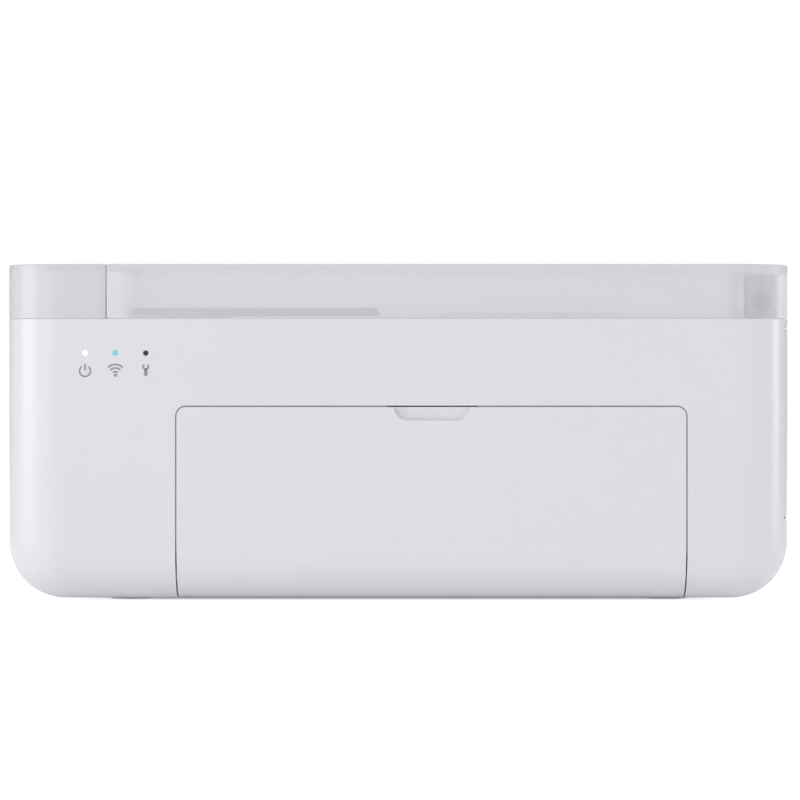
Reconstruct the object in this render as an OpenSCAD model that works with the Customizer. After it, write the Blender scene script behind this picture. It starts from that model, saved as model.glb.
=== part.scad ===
// Compact photo printer with an upper storage lid, a drop front door, a side ribbon door
// and the print mechanism inside. X to the right, Y to the rear, Z up, millimetres.

/* [Housing] */
// Room left of the chassis, for the gears, the motors and the boards
left_room = 45.5; // [45:0.5:48]
// Room right of the chassis, for the ribbon cartridge's grip and the ribbon door
right_room = 29.2; // [29:0.1:32]
// Least depth that the print mechanism needs, front face to rear face
mech_d = 124; // [122:0.5:128]
// Height of the shell above the feet
shell_h = 83; // [82:0.5:88]
// Radius of the upright corners and of the bottom edge
corner_r = 14; // [12.5:0.5:15]
// Wall thickness of the moulded shell
wall = 2.2; // [1.8:0.1:2.4]
// Height of the feet
foot_h = 0.8; // [0.6:0.1:1.5]
// Radius of a foot
foot_r = 5; // [4:0.5:7]
// Height of the frosted top band
band_h = 13.5; // [13:0.5:16]
// Inner thickness of the base plate
base_t = 2; // [1.6:0.1:2.2]
// Distance of the base plate from the sides
base_in = 19.25; // [18:0.25:21]
// Distance of the base plate from the front
base_front = 20; // [20:1:24]
// Distance of the base plate from the rear
base_back = 16; // [16:1:18]

/* [Storage lid] */
// Thickness of the lid's top plate
lid_plate = 2; // [1.6:0.1:2.4]
// Thickness of the lid's side walls
lid_wall = 2.2; // [1.8:0.1:2.6]
// Width of the fixed cap at the left
cap_w = 25; // [22:0.25:26]
// Gap between the cap and the lid
lid_gap = 0.25; // [0.2:0.05:0.8]
// Gap under the lid's edge
lid_seat = 0.15; // [0.1:0.05:0.4]
// Height of the lid's hinge axis above the seam
lid_axis_up = 3.4; // [3.3:0.1:4]
// Radius of the fixed hinge rail
rail_r = 3; // [2.6:0.1:3.1]
// Radius of the lid's barrels
barrel_r = 2.7; // [2.2:0.1:2.8]
// Length of a lid barrel
barrel_l = 16; // [12:1:22]
// Radius of the lid's hinge pins
lid_pin_r = 1.2; // [0.8:0.1:1.5]
// Radial play of the pins and shafts
play = 0.05; // [0.02:0.01:0.08]

/* [Storage tray] */
// Play of the cassette in its well
well_play = 1.5; // [1.2:0.1:1.8]
// Solid rim of the tray in front of the well
tray_front = 5; // [4.8:0.1:5.2]
// Solid rim of the tray behind the well, under the lid's hinge
tray_back = 11; // [11:0.5:13]
// Width of the post that holds the catch
post_w = 7.55; // [7:0.05:10]
// Thickness of the tray's deck and floor
tray_t = 1.6; // [1.2:0.1:1.8]
// Depth of the well's floor below the seam
well_deep = 7.6; // [7.2:0.1:8]

/* [Paper cassette] */
// Length of a paper sheet
sheet_l = 148; // [146:1:152]
// Width of a paper sheet
paper_w = 100; // [98:0.5:102]
// Play of the paper in the cassette
sheet_play = 0.6; // [0.4:0.1:1]
// Height of the cassette's paper box
cass_h = 18; // [17:0.25:18]
// Thickness of the cassette's thin end
cass_thin = 8; // [6:0.5:9]
// Length of the thin end
cass_thin_l = 62; // [55:1:66]
// Wall of the cassette
cass_wall = 1.5; // [1.2:0.1:1.8]
// Height of the paper stack
stack_h = 4; // [2:0.5:6]

/* [Front door] */
// Width of the front door beyond the chassis at each side
door_lap = 3.05; // [2.5:0.05:3.3]
// Height of the door's top edge above the shell's bottom
door_h = 47.7; // [46:0.1:49]
// Gap round the door
door_gap = 0.3; // [0.25:0.05:0.6]
// Width of the stop lip behind the door's edge
door_lip = 0.8; // [0.6:0.1:1.2]
// Thickness of the door's edge in front of the lip
door_edge = 1; // [0.9:0.05:1.1]
// Radius of the door's upper corners
door_corner = 2.3; // [1:0.1:4]
// Width of the finger notch
notch_w = 18.5; // [14:0.5:24]
// Height of the finger notch
notch_h = 3.3; // [2.4:0.1:4]
// Depth of the finger notch
notch_deep = 1.5; // [1:0.1:1.7]
// Radius of the door's hinge pins
door_pin_r = 1.2; // [0.9:0.1:1.4]
// Radius of the door's hinge knuckles
door_knuckle_r = 2.5; // [2.2:0.1:2.5]

/* [Ribbon door] */
// Front edge of the ribbon door behind the front face
rib_door_from = 8.5; // [8:0.5:9]
// Length of the ribbon door, front to rear
rib_door_l = 80.5; // [79:0.5:82]
// Height of the ribbon door's hinge above the shell's bottom
rib_axis_up = 18.2; // [17.5:0.1:19]
// Height of the ribbon door above its hinge
rib_door_h = 49; // [47:0.5:49.5]
// Radius of the ribbon door's hinge barrel
rib_barrel_r = 2; // [1.7:0.1:2.2]
// Radius of the ribbon door's hinge rod
rib_rod_r = 1; // [0.7:0.1:1.1]

/* [Buttons and lights] */
// Radius of the power button
button_r = 6; // [5:0.5:7.5]
// Travel of the power button
button_travel = 0.6; // [0.4:0.1:0.8]
// Radius of an indicator light
light_r = 0.6; // [0.5:0.1:1.2]
// Pitch of the indicator lights
light_pitch = 7.5; // [7:0.1:9]
// Height of the lights below the seam
light_down = 8.5; // [7.5:0.1:9]

/* [Mechanism] */
// Thickness of the chassis plates
plate_t = 1.5; // [1.2:0.1:1.8]
// Room between the cassette and a chassis plate
bay_play = 7.4; // [7:0.1:8]
// Height of the paper plane above the shell's bottom
paper_up = 35.5; // [35:0.1:36]
// Radius of the platen roller
platen_r = 6; // [5.5:0.1:6]
// Radius of the capstan roller
capstan_r = 4; // [3.5:0.1:4]
// Radius of the exit roller
exit_r = 3.4; // [3:0.1:3.4]
// Radius of the pinch rollers
pinch_r = 3.6; // [3:0.1:4]
// Radius of the roller shafts
shaft_r = 2; // [1.6:0.1:2.4]
// Travel of the print head
head_travel = 3; // [2:0.1:3]
// Module of the gears
gear_m = 0.8; // [0.8:0.1:0.8]
// Face width of a gear
gear_b = 3; // [2.4:0.1:3]
// Backlash of the gears
backlash = 0.24; // [0.15:0.01:0.3]
// Radius of the ribbon cartridge's tubes
tube_r = 10; // [9:0.5:10]
// Radius of the ribbon's cores
core_r = 4; // [3.5:0.25:4.5]
// Height of a film or paper sheet
film_t = 0.25; // [0.2:0.05:0.4]

/* [Electrics] */
// Side of the fan's frame
fan_s = 25; // [22:0.5:25]
// Thickness of the fan's frame
fan_t = 7; // [5:0.5:7]
// Radius of the drive motor
motor_r = 12.5; // [11:0.5:12.5]
// Radius of the cam motor
cam_motor_r = 8; // [6:0.5:8]
// Thickness of a circuit board
board_t = 1.6; // [1:0.2:2]
// Radius of the power inlet's bore
inlet_r = 2.75; // [2.5:0.05:3]

/* [Hidden] */
$fn = 96;

// Shell planes
zb = foot_h;
zt = foot_h + shell_h;
seam = zt - band_h;
cass_w = paper_w + 2 * cass_wall + 2;
cass_l = sheet_l + 2 * cass_wall + sheet_play;
well_d = cass_w + 2 * well_play;
bay_w = cass_w + 2 * bay_play;
door_w = bay_w + 2 * door_lap;
cover_room = cap_w + lid_gap + 2 * lid_wall + cass_l + 2 * well_play + post_w + 2.7;
body_w = max(left_room + bay_w + right_room, cover_room);
body_d = max(mech_d, tray_front + well_d + tray_back);
xl = -body_w / 2;
xr = body_w / 2;
yf = -body_d / 2;
yr = body_d / 2;
ri = corner_r - wall;
thin = 0.3;
cap_x = xl + cap_w;
lid_x = cap_x + lid_gap;
tray_lo = [xl + wall + thin, yf + wall + thin, seam - tray_t];
tray_hi = [xr - wall - thin, yr - wall - thin, seam];

// Lid hinge
lid_y = yr - rail_r;
lid_z = seam + lid_axis_up;
lid_cut = rail_r + door_gap;
barrel_x = [lid_x + 6.6, xr - corner_r - 23.3];

// Well, stored cassette
cass_x = lid_x + lid_wall + 2.4;
well_x = cass_x + cass_thin_l - 2;
well_x2 = cass_x + cass_l + well_play;
well_y = yf + tray_front;
well_z = seam - well_deep;
cass_y = well_y + well_play - thin;
cass_z = well_z + 0.4;
cass_top = cass_z + cass_h;

// Front door
plate_l = xl + left_room;
plate_r = plate_l + bay_w;
door_x = (plate_l + plate_r) / 2;
door_l = door_x - door_w / 2;
door_r = door_x + door_w / 2;
door_t = zb + door_h;
door_ay = yf + 6;
door_az = zb + 6;
door_end = yf + 11.1;
notch_x = door_x + 0.15;
door_sweep = norm([door_end - door_ay, door_az - zb]) + 0.45;

// Ribbon door
rib_y = yf + rib_door_from;
rib_y2 = rib_y + rib_door_l;
rib_z = zb + rib_axis_up;
rib_x = xr - rib_barrel_r;
rib_bar_y = rib_y + 7.5;
rib_bar_y2 = rib_y2 - 3;
rib_foot = rib_barrel_r + door_gap;

// Mechanism, places are [y, z] in the plane of the gears
paper_l = door_x - paper_w / 2;
paper_r = door_x + paper_w / 2;
floor_z = zb + base_t;
paper_z = zb + paper_up;
plate_front = yf + 15;
plate_back = yr - 12;
plate_top = seam - well_deep - tray_t - 1.2;
main_z = floor_z + 8;
base_w = body_w - 2 * base_in;
base_y = yf + base_front;
base_y2 = yr - base_back;
plate_flange = 7;
flange_end = base_y2 - 1;
flange_screws = [plate_front + 24, flange_end - 9];
flange_out = plate_t + 4;
win_r = tube_r + 0.6;
layer_a = plate_l - plate_t - 2 - gear_b;
layer_b = layer_a - gear_b - 0.5;
layer_c = layer_b - gear_b - 0.5;
bracket_x = layer_c - 3;
n_platen = 36;
n_platen_b = 40;
n_idler = 28;
n_capstan = 24;
n_exit = 20;
n_small = 16;
n_big = 40;
n_pinion = 12;
n_take = 28;
n_cam = 14;
c_platen = [-4, paper_z - platen_r - 0.1];
c_capstan = [yr - 20, paper_z - capstan_r - 0.1];
c_idler = meet(c_platen, gear_far(n_platen, n_idler), c_capstan, gear_far(n_idler, n_capstan), -1);
c_reduce = c_platen + gear_far(n_small, n_platen_b) * [cos(190), sin(190)];
c_exit = c_reduce + gear_far(n_exit, n_exit) * [cos(155.6), sin(155.6)];
c_motor = c_reduce + gear_far(n_big, n_pinion) * [cos(135), sin(135)];
c_cam = [c_platen[0], paper_z + 18.9];
c_cam_motor = c_cam + [-gear_far(n_cam, n_pinion) , 0];
c_take = c_platen + gear_far(n_platen_b, n_take) * [cos(39.5), sin(39.5)];
c_supply = [2 * c_platen[0] - c_take[0], c_take[1]];
c_pick = [yr - 28, zb + 26.7];
c_pick_roller = c_pick + [-16, -1.2];

// Cam
cam_base = 2.5;
cam_nose = 2.2;
cam_sweep = 150;
cam_k = head_travel / (cam_sweep * PI / 180);
head_top = c_cam[1] - cam_base - 0.04;

// Joins two circles of centres about a and b, side 1 or -1
function meet(a, ra, b, rb, side) =
  let(d = norm(b - a), u = (b - a) / d, s = (ra * ra - rb * rb + d * d) / (2 * d),
      h = sqrt(max(0, ra * ra - s * s)))
  a + s * u + side * h * [-u[1], u[0]];
function gear_far(a, b) = gear_m * (a + b) / 2;
function way(a, b) = atan2(b[1] - a[1], b[0] - a[0]);
// Turn of gear b that puts its gap on a tooth of gear a, whose own turn is t
function mesh_turn(t, na, nb, w) = w + 180 - na / nb * (t - w) - 180 / nb;
function inv(a) = tan(a) - a * PI / 180;
press = 25;
function tooth_half(n, r) =
  let(rp = gear_m * n / 2, rbase = rp * cos(press), a = r > rbase ? acos(rbase / r) : 0)
  90 / n - backlash / 2 / rp * 180 / PI / 2 + (inv(press) - inv(a)) * 180 / PI;
function gear_points(n, turn) =
  let(rp = gear_m * n / 2, low = rp - 1.1 * gear_m, high = rp + 0.88 * gear_m,
      rs = [low, max(low + 0.05, rp * cos(press)), rp, high - 0.02])
  [for (i = [0 : n - 1], s = [-1, 1], j = [0 : 3])
    let(r = s < 0 ? rs[j] : rs[3 - j], a = turn + i * 360 / n + s * tooth_half(n, r))
    r * [cos(a), sin(a)]];
function cam_c() =
  let(pe = cam_base + head_travel - cam_nose, n = [cos(cam_sweep), sin(cam_sweep)],
      t = [-sin(cam_sweep), cos(cam_sweep)])
  pe * n + cam_k * t;
function cam_point(a) =
  let(c = cam_c(), n = [cos(a), sin(a)], t = [-sin(a), cos(a)], nose = cam_nose + c * n,
      p = a <= cam_sweep ? cam_base + cam_k * a * PI / 180 : max(nose, cam_base),
      q = a <= cam_sweep ? cam_k : nose > cam_base ? c * t : 0)
  p * n + q * t;

// Turns of the gears at rest
t_platen = 0;
t_idler = mesh_turn(t_platen, n_platen, n_idler, way(c_platen, c_idler));
t_capstan = mesh_turn(t_idler, n_idler, n_capstan, way(c_idler, c_capstan));
t_j = mesh_turn(t_platen, n_platen, n_exit, way(c_platen, c_reduce));
t_exit = mesh_turn(t_j, n_exit, n_exit, way(c_reduce, c_exit));
t_small = mesh_turn(t_platen, n_platen_b, n_small, way(c_platen, c_reduce));
t_take = mesh_turn(t_platen, n_platen_b, n_take, way(c_platen, c_take));
t_pinion = mesh_turn(t_small, n_big, n_pinion, way(c_reduce, c_motor));
t_cam_pinion = mesh_turn(0, n_cam, n_pinion, way(c_cam, c_cam_motor));

// Hinge of the front door
door_axis = [door_ay, door_az];
door_pin_l = 10;
lip_low = door_az + door_knuckle_r + 3;
fan_x = xl + corner_r + thin;
fan_z = zb + 23;
fan_c = [fan_x + fan_s / 2, fan_z + fan_s / 2];
slot_z = paper_z - 2.3;
slot_h = 6.6;
// Sockets and screw bosses
inlet_x = xl + 33.5;
inlet_z = main_z + board_t + 5.2;
usb_x = xl + 22;
boss_r = 2.2;
boss_far = ri - boss_r + 0.25;
boss_xy = [for (b = [[-1, -1, 225], [-1, 1, 135], [1, 1, 45], [1, -1, -50]])
  [b[0] * (xr - corner_r), b[1] * (yr - corner_r)] + boss_far * [cos(b[2]), sin(b[2])]];
// Base plate
base_screws = [for (x = [plate_l - flange_out, plate_r + flange_out], y = flange_screws) [x, y]];
feet_xy = [for (x = [-base_w / 2 + 10, base_w / 2 - 10], y = [yf + 29, yr - 34]) [x, y]];
// Lights
light_z = seam - light_down;
light_back = yf + 7.4;
// Catch of the lid
post_x = well_x2 + 1.2;
post_x2 = xr - lid_wall - 0.6;
post_in = 8.6;
magnet_r = 2.4;
magnet_x = post_x + magnet_r + 1.1;
magnet_z = seam + 4.4;
// Power button
button_xy = [xl + cap_w / 2 + 1, -4];
button_top = zt + 0.2;
board_z = seam + 2.2;
// Bearings and pinch rollers
plate_seats = [c_platen, c_capstan, c_exit, c_cam];
bearing_r = shaft_r + 2;
c_pinch = c_capstan + [0, capstan_r + pinch_r + 0.35];
c_out_pinch = [c_exit[0], c_exit[1] + exit_r + 3 + 0.35];
out_pinch_r = 3;
// Tie bars and gear bracket
tie_at = [[plate_front + 3, plate_top - 3.4], [plate_back - 9, plate_top - 3.4],
  [plate_back - 4, floor_z + 18]];
bracket_t = 1.5;
standoffs = [[c_cam[0] + 9, plate_top - 2.1], [c_motor[0] - 2.2, plate_top - 4],
  [c_reduce[0] + 8, floor_z + 3.2]];
motor_back = bracket_x - 22;
// Take-up drive and camshaft
spindle_r = 2.6;
cam_w = 5;
cam_x = [plate_l + 3, plate_r - 3 - cam_w];
// Print head
head_y = [c_platen[0] - 7, c_platen[0] + 7];
head_z = paper_z + 4.3;
carrier_x = [plate_l + 0.6, plate_r - 0.6];
sink_top = head_top - 2.6;
// Pick-up roller
pick_r = 4;
pick_w = 14;
// Ribbon cartridge
tube_in = tube_r - 1.1;
cart_l = plate_l + 2;
cart_r = plate_r + 6;
film_z = paper_z + 0.85;
bridge_z = [paper_z + 0.6, paper_z + 2.9];
dip_z = [paper_z + 0.4, head_z - head_travel - 0.2];
// Paper cassette
cass_x2 = cass_x + cass_l;
cass_y2 = cass_y + cass_w;
step_x = cass_x + cass_thin_l;
step_run = 5;
base_z = cass_z + cass_h - cass_thin;
cass_split = cass_top - 3;
grip_in = 14;
grip_l = 47;
paper_end = cass_x2 - cass_wall - sheet_play / 2;
paper_y = cass_y + cass_w / 2 - paper_w / 2;
stack_z = cass_top - cass_wall - 0.4 - stack_h;
lift_t = 0.8;
lift_lo = [step_x + step_run + cass_wall + 1, cass_y + cass_wall + 1];
lift_hi = [cass_x2 - cass_wall - 1, cass_y2 - cass_wall - 1];
lift_mid = (lift_lo + lift_hi) / 2;
leaf_t = 0.6;
leaf_foot = 8;
leaf_rise = 32;
// Front and back of each guide between the rollers
guide_y = [[c_exit[0] + exit_r + 1.6, c_platen[0] - platen_r - 0.8],
  [c_platen[0] + platen_r + 0.8, c_capstan[0] - capstan_r - 0.8],
  [c_capstan[0] + capstan_r + 0.8, yr - wall - 0.4]];
// Fan and main board
fan_y = yr - wall - fan_t;
main_x = [xl + 9.5, layer_b - 0.5];
main_y = [yr - 49, yr - 11];
main_posts = [[main_x[0] + 13, main_y[0] + 3], [main_x[0] + 13, main_y[1] - 14]];

// Basic solids
module box(a, b) translate(a) cube(b - a);
module zrod(r, z0, z1, p) translate([p[0], p[1], z0]) cylinder(r = r, h = z1 - z0);
module yrod(r, y0, y1, x, z) translate([x, y0, z]) rotate([-90, 0, 0]) cylinder(r = r, h = y1 - y0);
// Rod along X at the place c = [y, z]
module xrod(r, x0, x1, c) translate([x0, c[0], c[1]]) rotate([0, 90, 0]) cylinder(r = r, h = x1 - x0);
// Lays a [y, z] profile across X, from x0 on
module across(x0, x1) translate([x0, 0, 0]) rotate([90, 0, 90]) linear_extrude(x1 - x0) children();
module gear2d(n, turn) polygon(gear_points(n, turn));
module round_rect(lo, hi, r) {
  translate([lo[0] + r, lo[1]]) square([hi[0] - lo[0] - 2 * r, hi[1] - lo[1]]);
  translate([lo[0], lo[1] + r]) square([hi[0] - lo[0], hi[1] - lo[1] - 2 * r]);
  for (x = [lo[0] + r, hi[0] - r], y = [lo[1] + r, hi[1] - r]) translate([x, y]) circle(r);
}
module plan(lo, hi, r, z0, z1) translate([0, 0, z0]) linear_extrude(z1 - z0) round_rect(lo, hi, r);
module edge_profile(r, h) {
  translate([0, r]) square([r, h - r]);
  intersection() {
    translate([0, r]) circle(r);
    square(r);
  }
}
// Tub with upright corners and bottom edges of radius r
module tub(lo, hi, r) {
  s = hi - lo;
  turns = [[s[0] - r, s[1] - r], [r, s[1] - r], [r, r], [s[0] - r, r]];
  translate(lo) {
    translate([r, r, 0]) cube([s[0] - 2 * r, s[1] - 2 * r, s[2]]);
    for (i = [0 : 3]) translate(turns[i]) rotate(90 * i) {
      rotate_extrude(angle = 90) edge_profile(r, s[2]);
      long = i % 2 == 0 ? s[1] - 2 * r : s[0] - 2 * r;
      rotate([90, 0, 0]) linear_extrude(long) edge_profile(r, s[2]);
    }
  }
}
module shell_out() tub([xl, yf, zb], [xr, yr, seam], corner_r);
module shell_in(more = 0)
  tub([xl + wall, yf + wall, zb + wall], [xr - wall, yr - wall, seam + 1 + more], ri);

// Outline of the front door on the front face, grown by g
module door_face(g) {
  r = door_corner;
  translate([door_l - g, zb - 2]) square([door_w + 2 * g, door_t - r - zb + 2]);
  translate([door_l + r, zb - 2]) square([door_w - 2 * r, door_t + g - zb + 2]);
  for (x = [door_l + r, door_r - r]) translate([x, door_t - r]) circle(r + g);
}
module door_zone(g, end)
  translate([0, end, 0]) rotate([90, 0, 0]) linear_extrude(end - yf + 2) door_face(g);
// Band along the door's edge from y0 to y1, open at the finger notch and near the hinge
module door_band(out, in, y0, y1, low, side) difference() {
  translate([0, y1, 0]) rotate([90, 0, 0]) linear_extrude(y1 - y0) difference() {
    door_face(out);
    door_face(-in);
  }
  box([xl, y0 - 1, zb - 5], [xr, y1 + 1, low]);
  half = notch_w / 2 + side;
  box([notch_x - half, y0 - 1, door_t - 9], [notch_x + half, y1 + 1, door_t + 9]);
}
module ribbon_zone(g) {
  box([xr - 9, rib_y - g, rib_z + rib_foot - g], [xr + 5, rib_y2 + g, rib_z + rib_door_h + g]);
  box([rib_x - rib_foot, rib_bar_y - g, rib_z - (g > 0 ? 0.01 : 0)], [xr + 5, rib_bar_y2 + g, rib_z + 4]);
}

module housing() color([0.88, 0.88, 0.9]) difference() {
  union() {
    difference() {
      shell_out();
      shell_in();
      door_zone(door_gap, door_end + door_gap);
      xrod(door_sweep, door_l - door_gap, door_r + door_gap, door_axis);
      ribbon_zone(door_gap);
      yrod(rib_foot, rib_bar_y - door_gap, rib_bar_y2 + door_gap, rib_x, rib_z);
      box([rib_x, rib_bar_y - door_gap, rib_z - rib_foot], [xr + 5, rib_bar_y2 + door_gap, rib_z + 1]);
      difference() {
        box([rib_x, rib_y - door_gap, rib_z], [xr + 5, rib_y2 + door_gap, rib_z + rib_foot]);
        yrod(rib_barrel_r, rib_y - 1, rib_y2 + 1, rib_x, rib_z);
      }
    }
    // Lip on which the closed front door stops
    door_band(door_gap + thin, door_lip, yf + door_edge + door_gap, yf + wall, lip_low, 2);
    // Ears that hold the pins of the front door
    for (x = [door_l - door_gap - 6, door_r + door_gap]) intersection() {
      xrod(door_knuckle_r + 0.1, x, x + 6, door_axis);
      shell_out();
    }
    // Knuckles that hold the rod of the ribbon door
    for (y = [rib_bar_y - door_gap - 4, rib_bar_y2 + door_gap]) intersection() {
      union() {
        yrod(rib_barrel_r, y, y + 4, rib_x, rib_z);
        box([rib_x - rib_barrel_r, y, rib_z - 3.4], [xr, y + 4, rib_z]);
      }
      shell_out();
    }
    // Posts under the storage tray
    for (p = boss_xy) zrod(boss_r, seam - tray_t - 12, seam - tray_t, p);
  }
  for (x = [door_l - door_gap - 6, door_r - 1]) xrod(door_pin_r + play, x, x + 7, door_axis);
  yrod(rib_rod_r + play, rib_bar_y - 3.2, rib_bar_y2 + 3.2, rib_x, rib_z);
  for (p = boss_xy) zrod(1, seam - tray_t - 10, seam, p);
  translate([0, 0, zb - 1]) linear_extrude(wall + 2)
    round_rect([-base_w / 2 - thin, base_y - thin], [base_w / 2 + thin, base_y2 + thin], 4);
  for (i = [0 : 2]) yrod(light_r + play, yf - 1, yf + wall + 1, light_x(i), light_z);
  // Fan grille
  for (r = [fan_s / 2 - 8, fan_s / 2 - 5, fan_s / 2 - 2]) difference() {
    yrod(r + 0.9, yr - wall - 1, yr + 1, fan_c[0], fan_c[1]);
    yrod(r - 0.9, yr - wall - 2, yr + 2, fan_c[0], fan_c[1]);
    for (a = [45, 135]) translate([fan_c[0], yr, fan_c[1]]) rotate([0, a, 0])
      cube([fan_s, 9, 2], center = true);
  }
  box([paper_l - 1.2, yr - wall - 1, slot_z], [paper_r + 1.2, yr + 1, slot_z + slot_h]);
  yrod(inlet_r + 1.4, yr - wall - 1, yr + 1, inlet_x, inlet_z);
  box([usb_x - 6.3, yr - wall - 1, inlet_z - 5.7], [usb_x + 6.3, yr + 1, inlet_z + 5.3]);
}

module base_plate() color([0.75, 0.75, 0.78]) {
  difference() {
    translate([0, 0, zb]) linear_extrude(base_t)
      round_rect([-base_w / 2, base_y], [base_w / 2, base_y2], 4);
    for (p = base_screws) zrod(1.2, zb - 1, floor_z + 1, p);
    for (p = base_screws) zrod(2.6, zb - 1, zb + 1.2, p);
    for (i = [0 : 9]) translate([door_x - 36 + i * 8, base_y2 - 44, zb - 1]) linear_extrude(base_t + 2)
      round_rect([0, 0], [2.4, 26], 1.19);
  }
  // Posts of the main board
  for (p = main_posts) {
    zrod(2.2, floor_z - 0.1, main_z, p);
    zrod(1, main_z - 0.1, main_z + board_t + 0.4, p);
  }
}

module feet() color([0.2, 0.2, 0.2])
  for (p = feet_xy) difference() {
    zrod(foot_r, 0, foot_h, p);
    zrod(foot_r - 2, -1, foot_h / 2, p);
  }

function light_x(i) = xl + 19.9 + i * light_pitch;
module pipe(i) {
  yrod(light_r, yf + 0.1, light_back, light_x(i), light_z);
  yrod(light_r + 1, yf + wall + 0.1, yf + wall + 1.2, light_x(i), light_z);
}
module power_light() color([0.97, 0.98, 1]) pipe(0);
module network_light() color([0.59, 0.8, 0.87]) pipe(1);
module service_light() color([0.15, 0.15, 0.15]) pipe(2);
module light_board() color([0.15, 0.4, 0.2]) {
  box([light_x(0) - 5, light_back + 1.1, light_z - 5],
    [light_x(2) + 5, light_back + 1.1 + board_t, seam - tray_t]);
  for (i = [0 : 2]) box([light_x(i) - 1.5, light_back + 0.05, light_z - 1.2],
    [light_x(i) + 1.5, light_back + 1.1, light_z + 1.2]);
}

module storage_tray() color([0.9, 0.9, 0.92]) difference() {
  union() {
    plan(tray_lo, tray_hi, ri - thin, seam - tray_t, seam);
    box([well_x - tray_t, well_y - tray_t, well_z - tray_t],
      [well_x2 + tray_t, well_y + well_d + tray_t, seam]);
    // Rests under the thin end of the cassette
    for (y = [cass_y + 12, cass_y + cass_w - 16])
      box([cass_x + 8, y, seam - 0.1], [cass_x + 20, y + 4, base_z - thin]);
    // Post for the lid's catch, set in the front right corner
    intersection() {
      box([post_x, yf + post_in, seam - 0.1], [xr, yf + 20, cass_top]);
      plan([xl + 3, yf + lid_wall + 0.6], [post_x2, yr], ri - 0.6, seam - 1, zt);
    }
  }
  box([well_x, well_y, well_z], [well_x2, well_y + well_d, seam + 1]);
  yrod(magnet_r + play, yf, yf + post_in + 2, magnet_x, magnet_z);
  for (p = boss_xy) zrod(1.3, seam - tray_t - 1, seam + 1, p);
}
module catch_magnet() color([0.35, 0.35, 0.37])
  yrod(magnet_r, yf + post_in + 0.05, yf + post_in + 2, magnet_x, magnet_z);

// Hollow cover from z0 up, whose walls follow the body's outline
module cover_walls(x0, x1, z0) difference() {
  intersection() {
    box([x0, yf, z0], [x1, yr, zt]);
    plan([xl, yf], [xr, yr], corner_r, z0, zt);
  }
  intersection() {
    box([x0 + lid_wall, yf + lid_wall, z0 - 1], [x1 - lid_wall, yr - lid_wall, zt - lid_plate]);
    plan([xl + lid_wall, yf + lid_wall], [xr - lid_wall, yr - lid_wall], corner_r - lid_wall, z0 - 1, zt);
  }
}

module left_cap() color([0.85, 0.85, 0.87]) difference() {
  cover_walls(xl, cap_x, seam);
  zrod(button_r + 0.2, zt - lid_plate - 1, zt + 1, button_xy);
}
module power_button() color([0.9, 0.9, 0.92]) {
  zrod(button_r, zt - lid_plate - 0.2, button_top, button_xy);
  zrod(button_r + 0.8, zt - lid_plate - 1.7, zt - lid_plate - 0.2 - play, button_xy);
  zrod(1.5, board_z + board_t + 2.5 + button_travel + play, zt - lid_plate - 1.6, button_xy);
}
module button_board() color([0.15, 0.4, 0.2]) {
  p = button_xy;
  box([p[0] - 8, p[1] - 12, board_z], [p[0] + 8, p[1] + 12, board_z + board_t]);
  for (s = [-8, 8]) zrod(2, seam, board_z, [p[0], p[1] + s]);
  box([p[0] - 3, p[1] - 3, board_z + board_t], [p[0] + 3, p[1] + 3, board_z + board_t + 2.5]);
}

module hinge_rail() color([0.86, 0.86, 0.88]) difference() {
  intersection() {
    union() {
      xrod(rail_r, lid_x + 0.4, xr, [lid_y, lid_z]);
      box([lid_x + 0.4, lid_y - 2, seam], [xr, lid_y + 0.8, lid_z]);
    }
    plan([xl, yf], [xr, yr], corner_r, seam - 1, zt);
  }
  for (x = barrel_x) box([x - thin, lid_y - 6, seam + 0.6], [x + barrel_l + thin, yr + 1, zt]);
  for (x = barrel_x) xrod(lid_pin_r + play, x - 4.1, x + barrel_l + 4.1, [lid_y, lid_z]);
}
module lid_hinge_pins() color([0.6, 0.6, 0.62])
  for (x = barrel_x) xrod(lid_pin_r, x - 4, x + barrel_l + 4, [lid_y, lid_z]);

module storage_lid() color([0.87, 0.87, 0.89, 0.6]) difference() {
  union() {
    difference() {
      cover_walls(lid_x, xr, seam + lid_seat);
      xrod(lid_cut, lid_x - 1, xr + 1, [lid_y, lid_z]);
      box([lid_x - 1, lid_y - lid_cut, seam - 1], [xr + 1, yr + 1, lid_z]);
    }
    for (x = barrel_x) {
      xrod(barrel_r, x, x + barrel_l, [lid_y, lid_z]);
      box([x, lid_y - 1.4, lid_z], [x + barrel_l, lid_y + 1.4, zt - lid_plate + 0.2]);
    }
  }
  for (x = barrel_x) xrod(lid_pin_r + play, x - 1, x + barrel_l + 1, [lid_y, lid_z]);
}

module front_door() color([0.88, 0.88, 0.9]) difference() {
  union() {
    intersection() {
      difference() {
        shell_out();
        shell_in();
      }
      door_zone(0, door_end);
    }
    for (x = [door_l + 0.4, door_r - 6.4]) intersection() {
      xrod(door_knuckle_r, x, x + 6, door_axis);
      shell_out();
    }
  }
  for (x = [door_l + 0.4, door_r - 6.4]) xrod(door_pin_r + play, x - 1, x + 7, door_axis);
  // Rebate that leaves room for the housing's lip
  door_band(1, door_lip + door_gap, yf + door_edge, yf + wall + 1, lip_low - door_gap, 2 - door_gap);
  // Finger notch with two round ends
  translate([notch_x, yf + notch_deep, door_t]) rotate([90, 0, 0]) linear_extrude(notch_deep + 1)
    intersection() {
      union() {
        for (s = [-1, 1]) translate([s * (notch_w / 2 - notch_h), 0]) circle(notch_h);
        translate([notch_h - notch_w / 2, -notch_h]) square([notch_w - 2 * notch_h, 2 * notch_h]);
      }
      translate([-notch_w, -notch_h]) square([2 * notch_w, notch_h + 1]);
    }
}
module front_door_pins() color([0.6, 0.6, 0.62])
  for (x = [door_l - door_gap - 5.5, door_r - 5]) xrod(door_pin_r, x, x + door_pin_l, door_axis);

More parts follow.
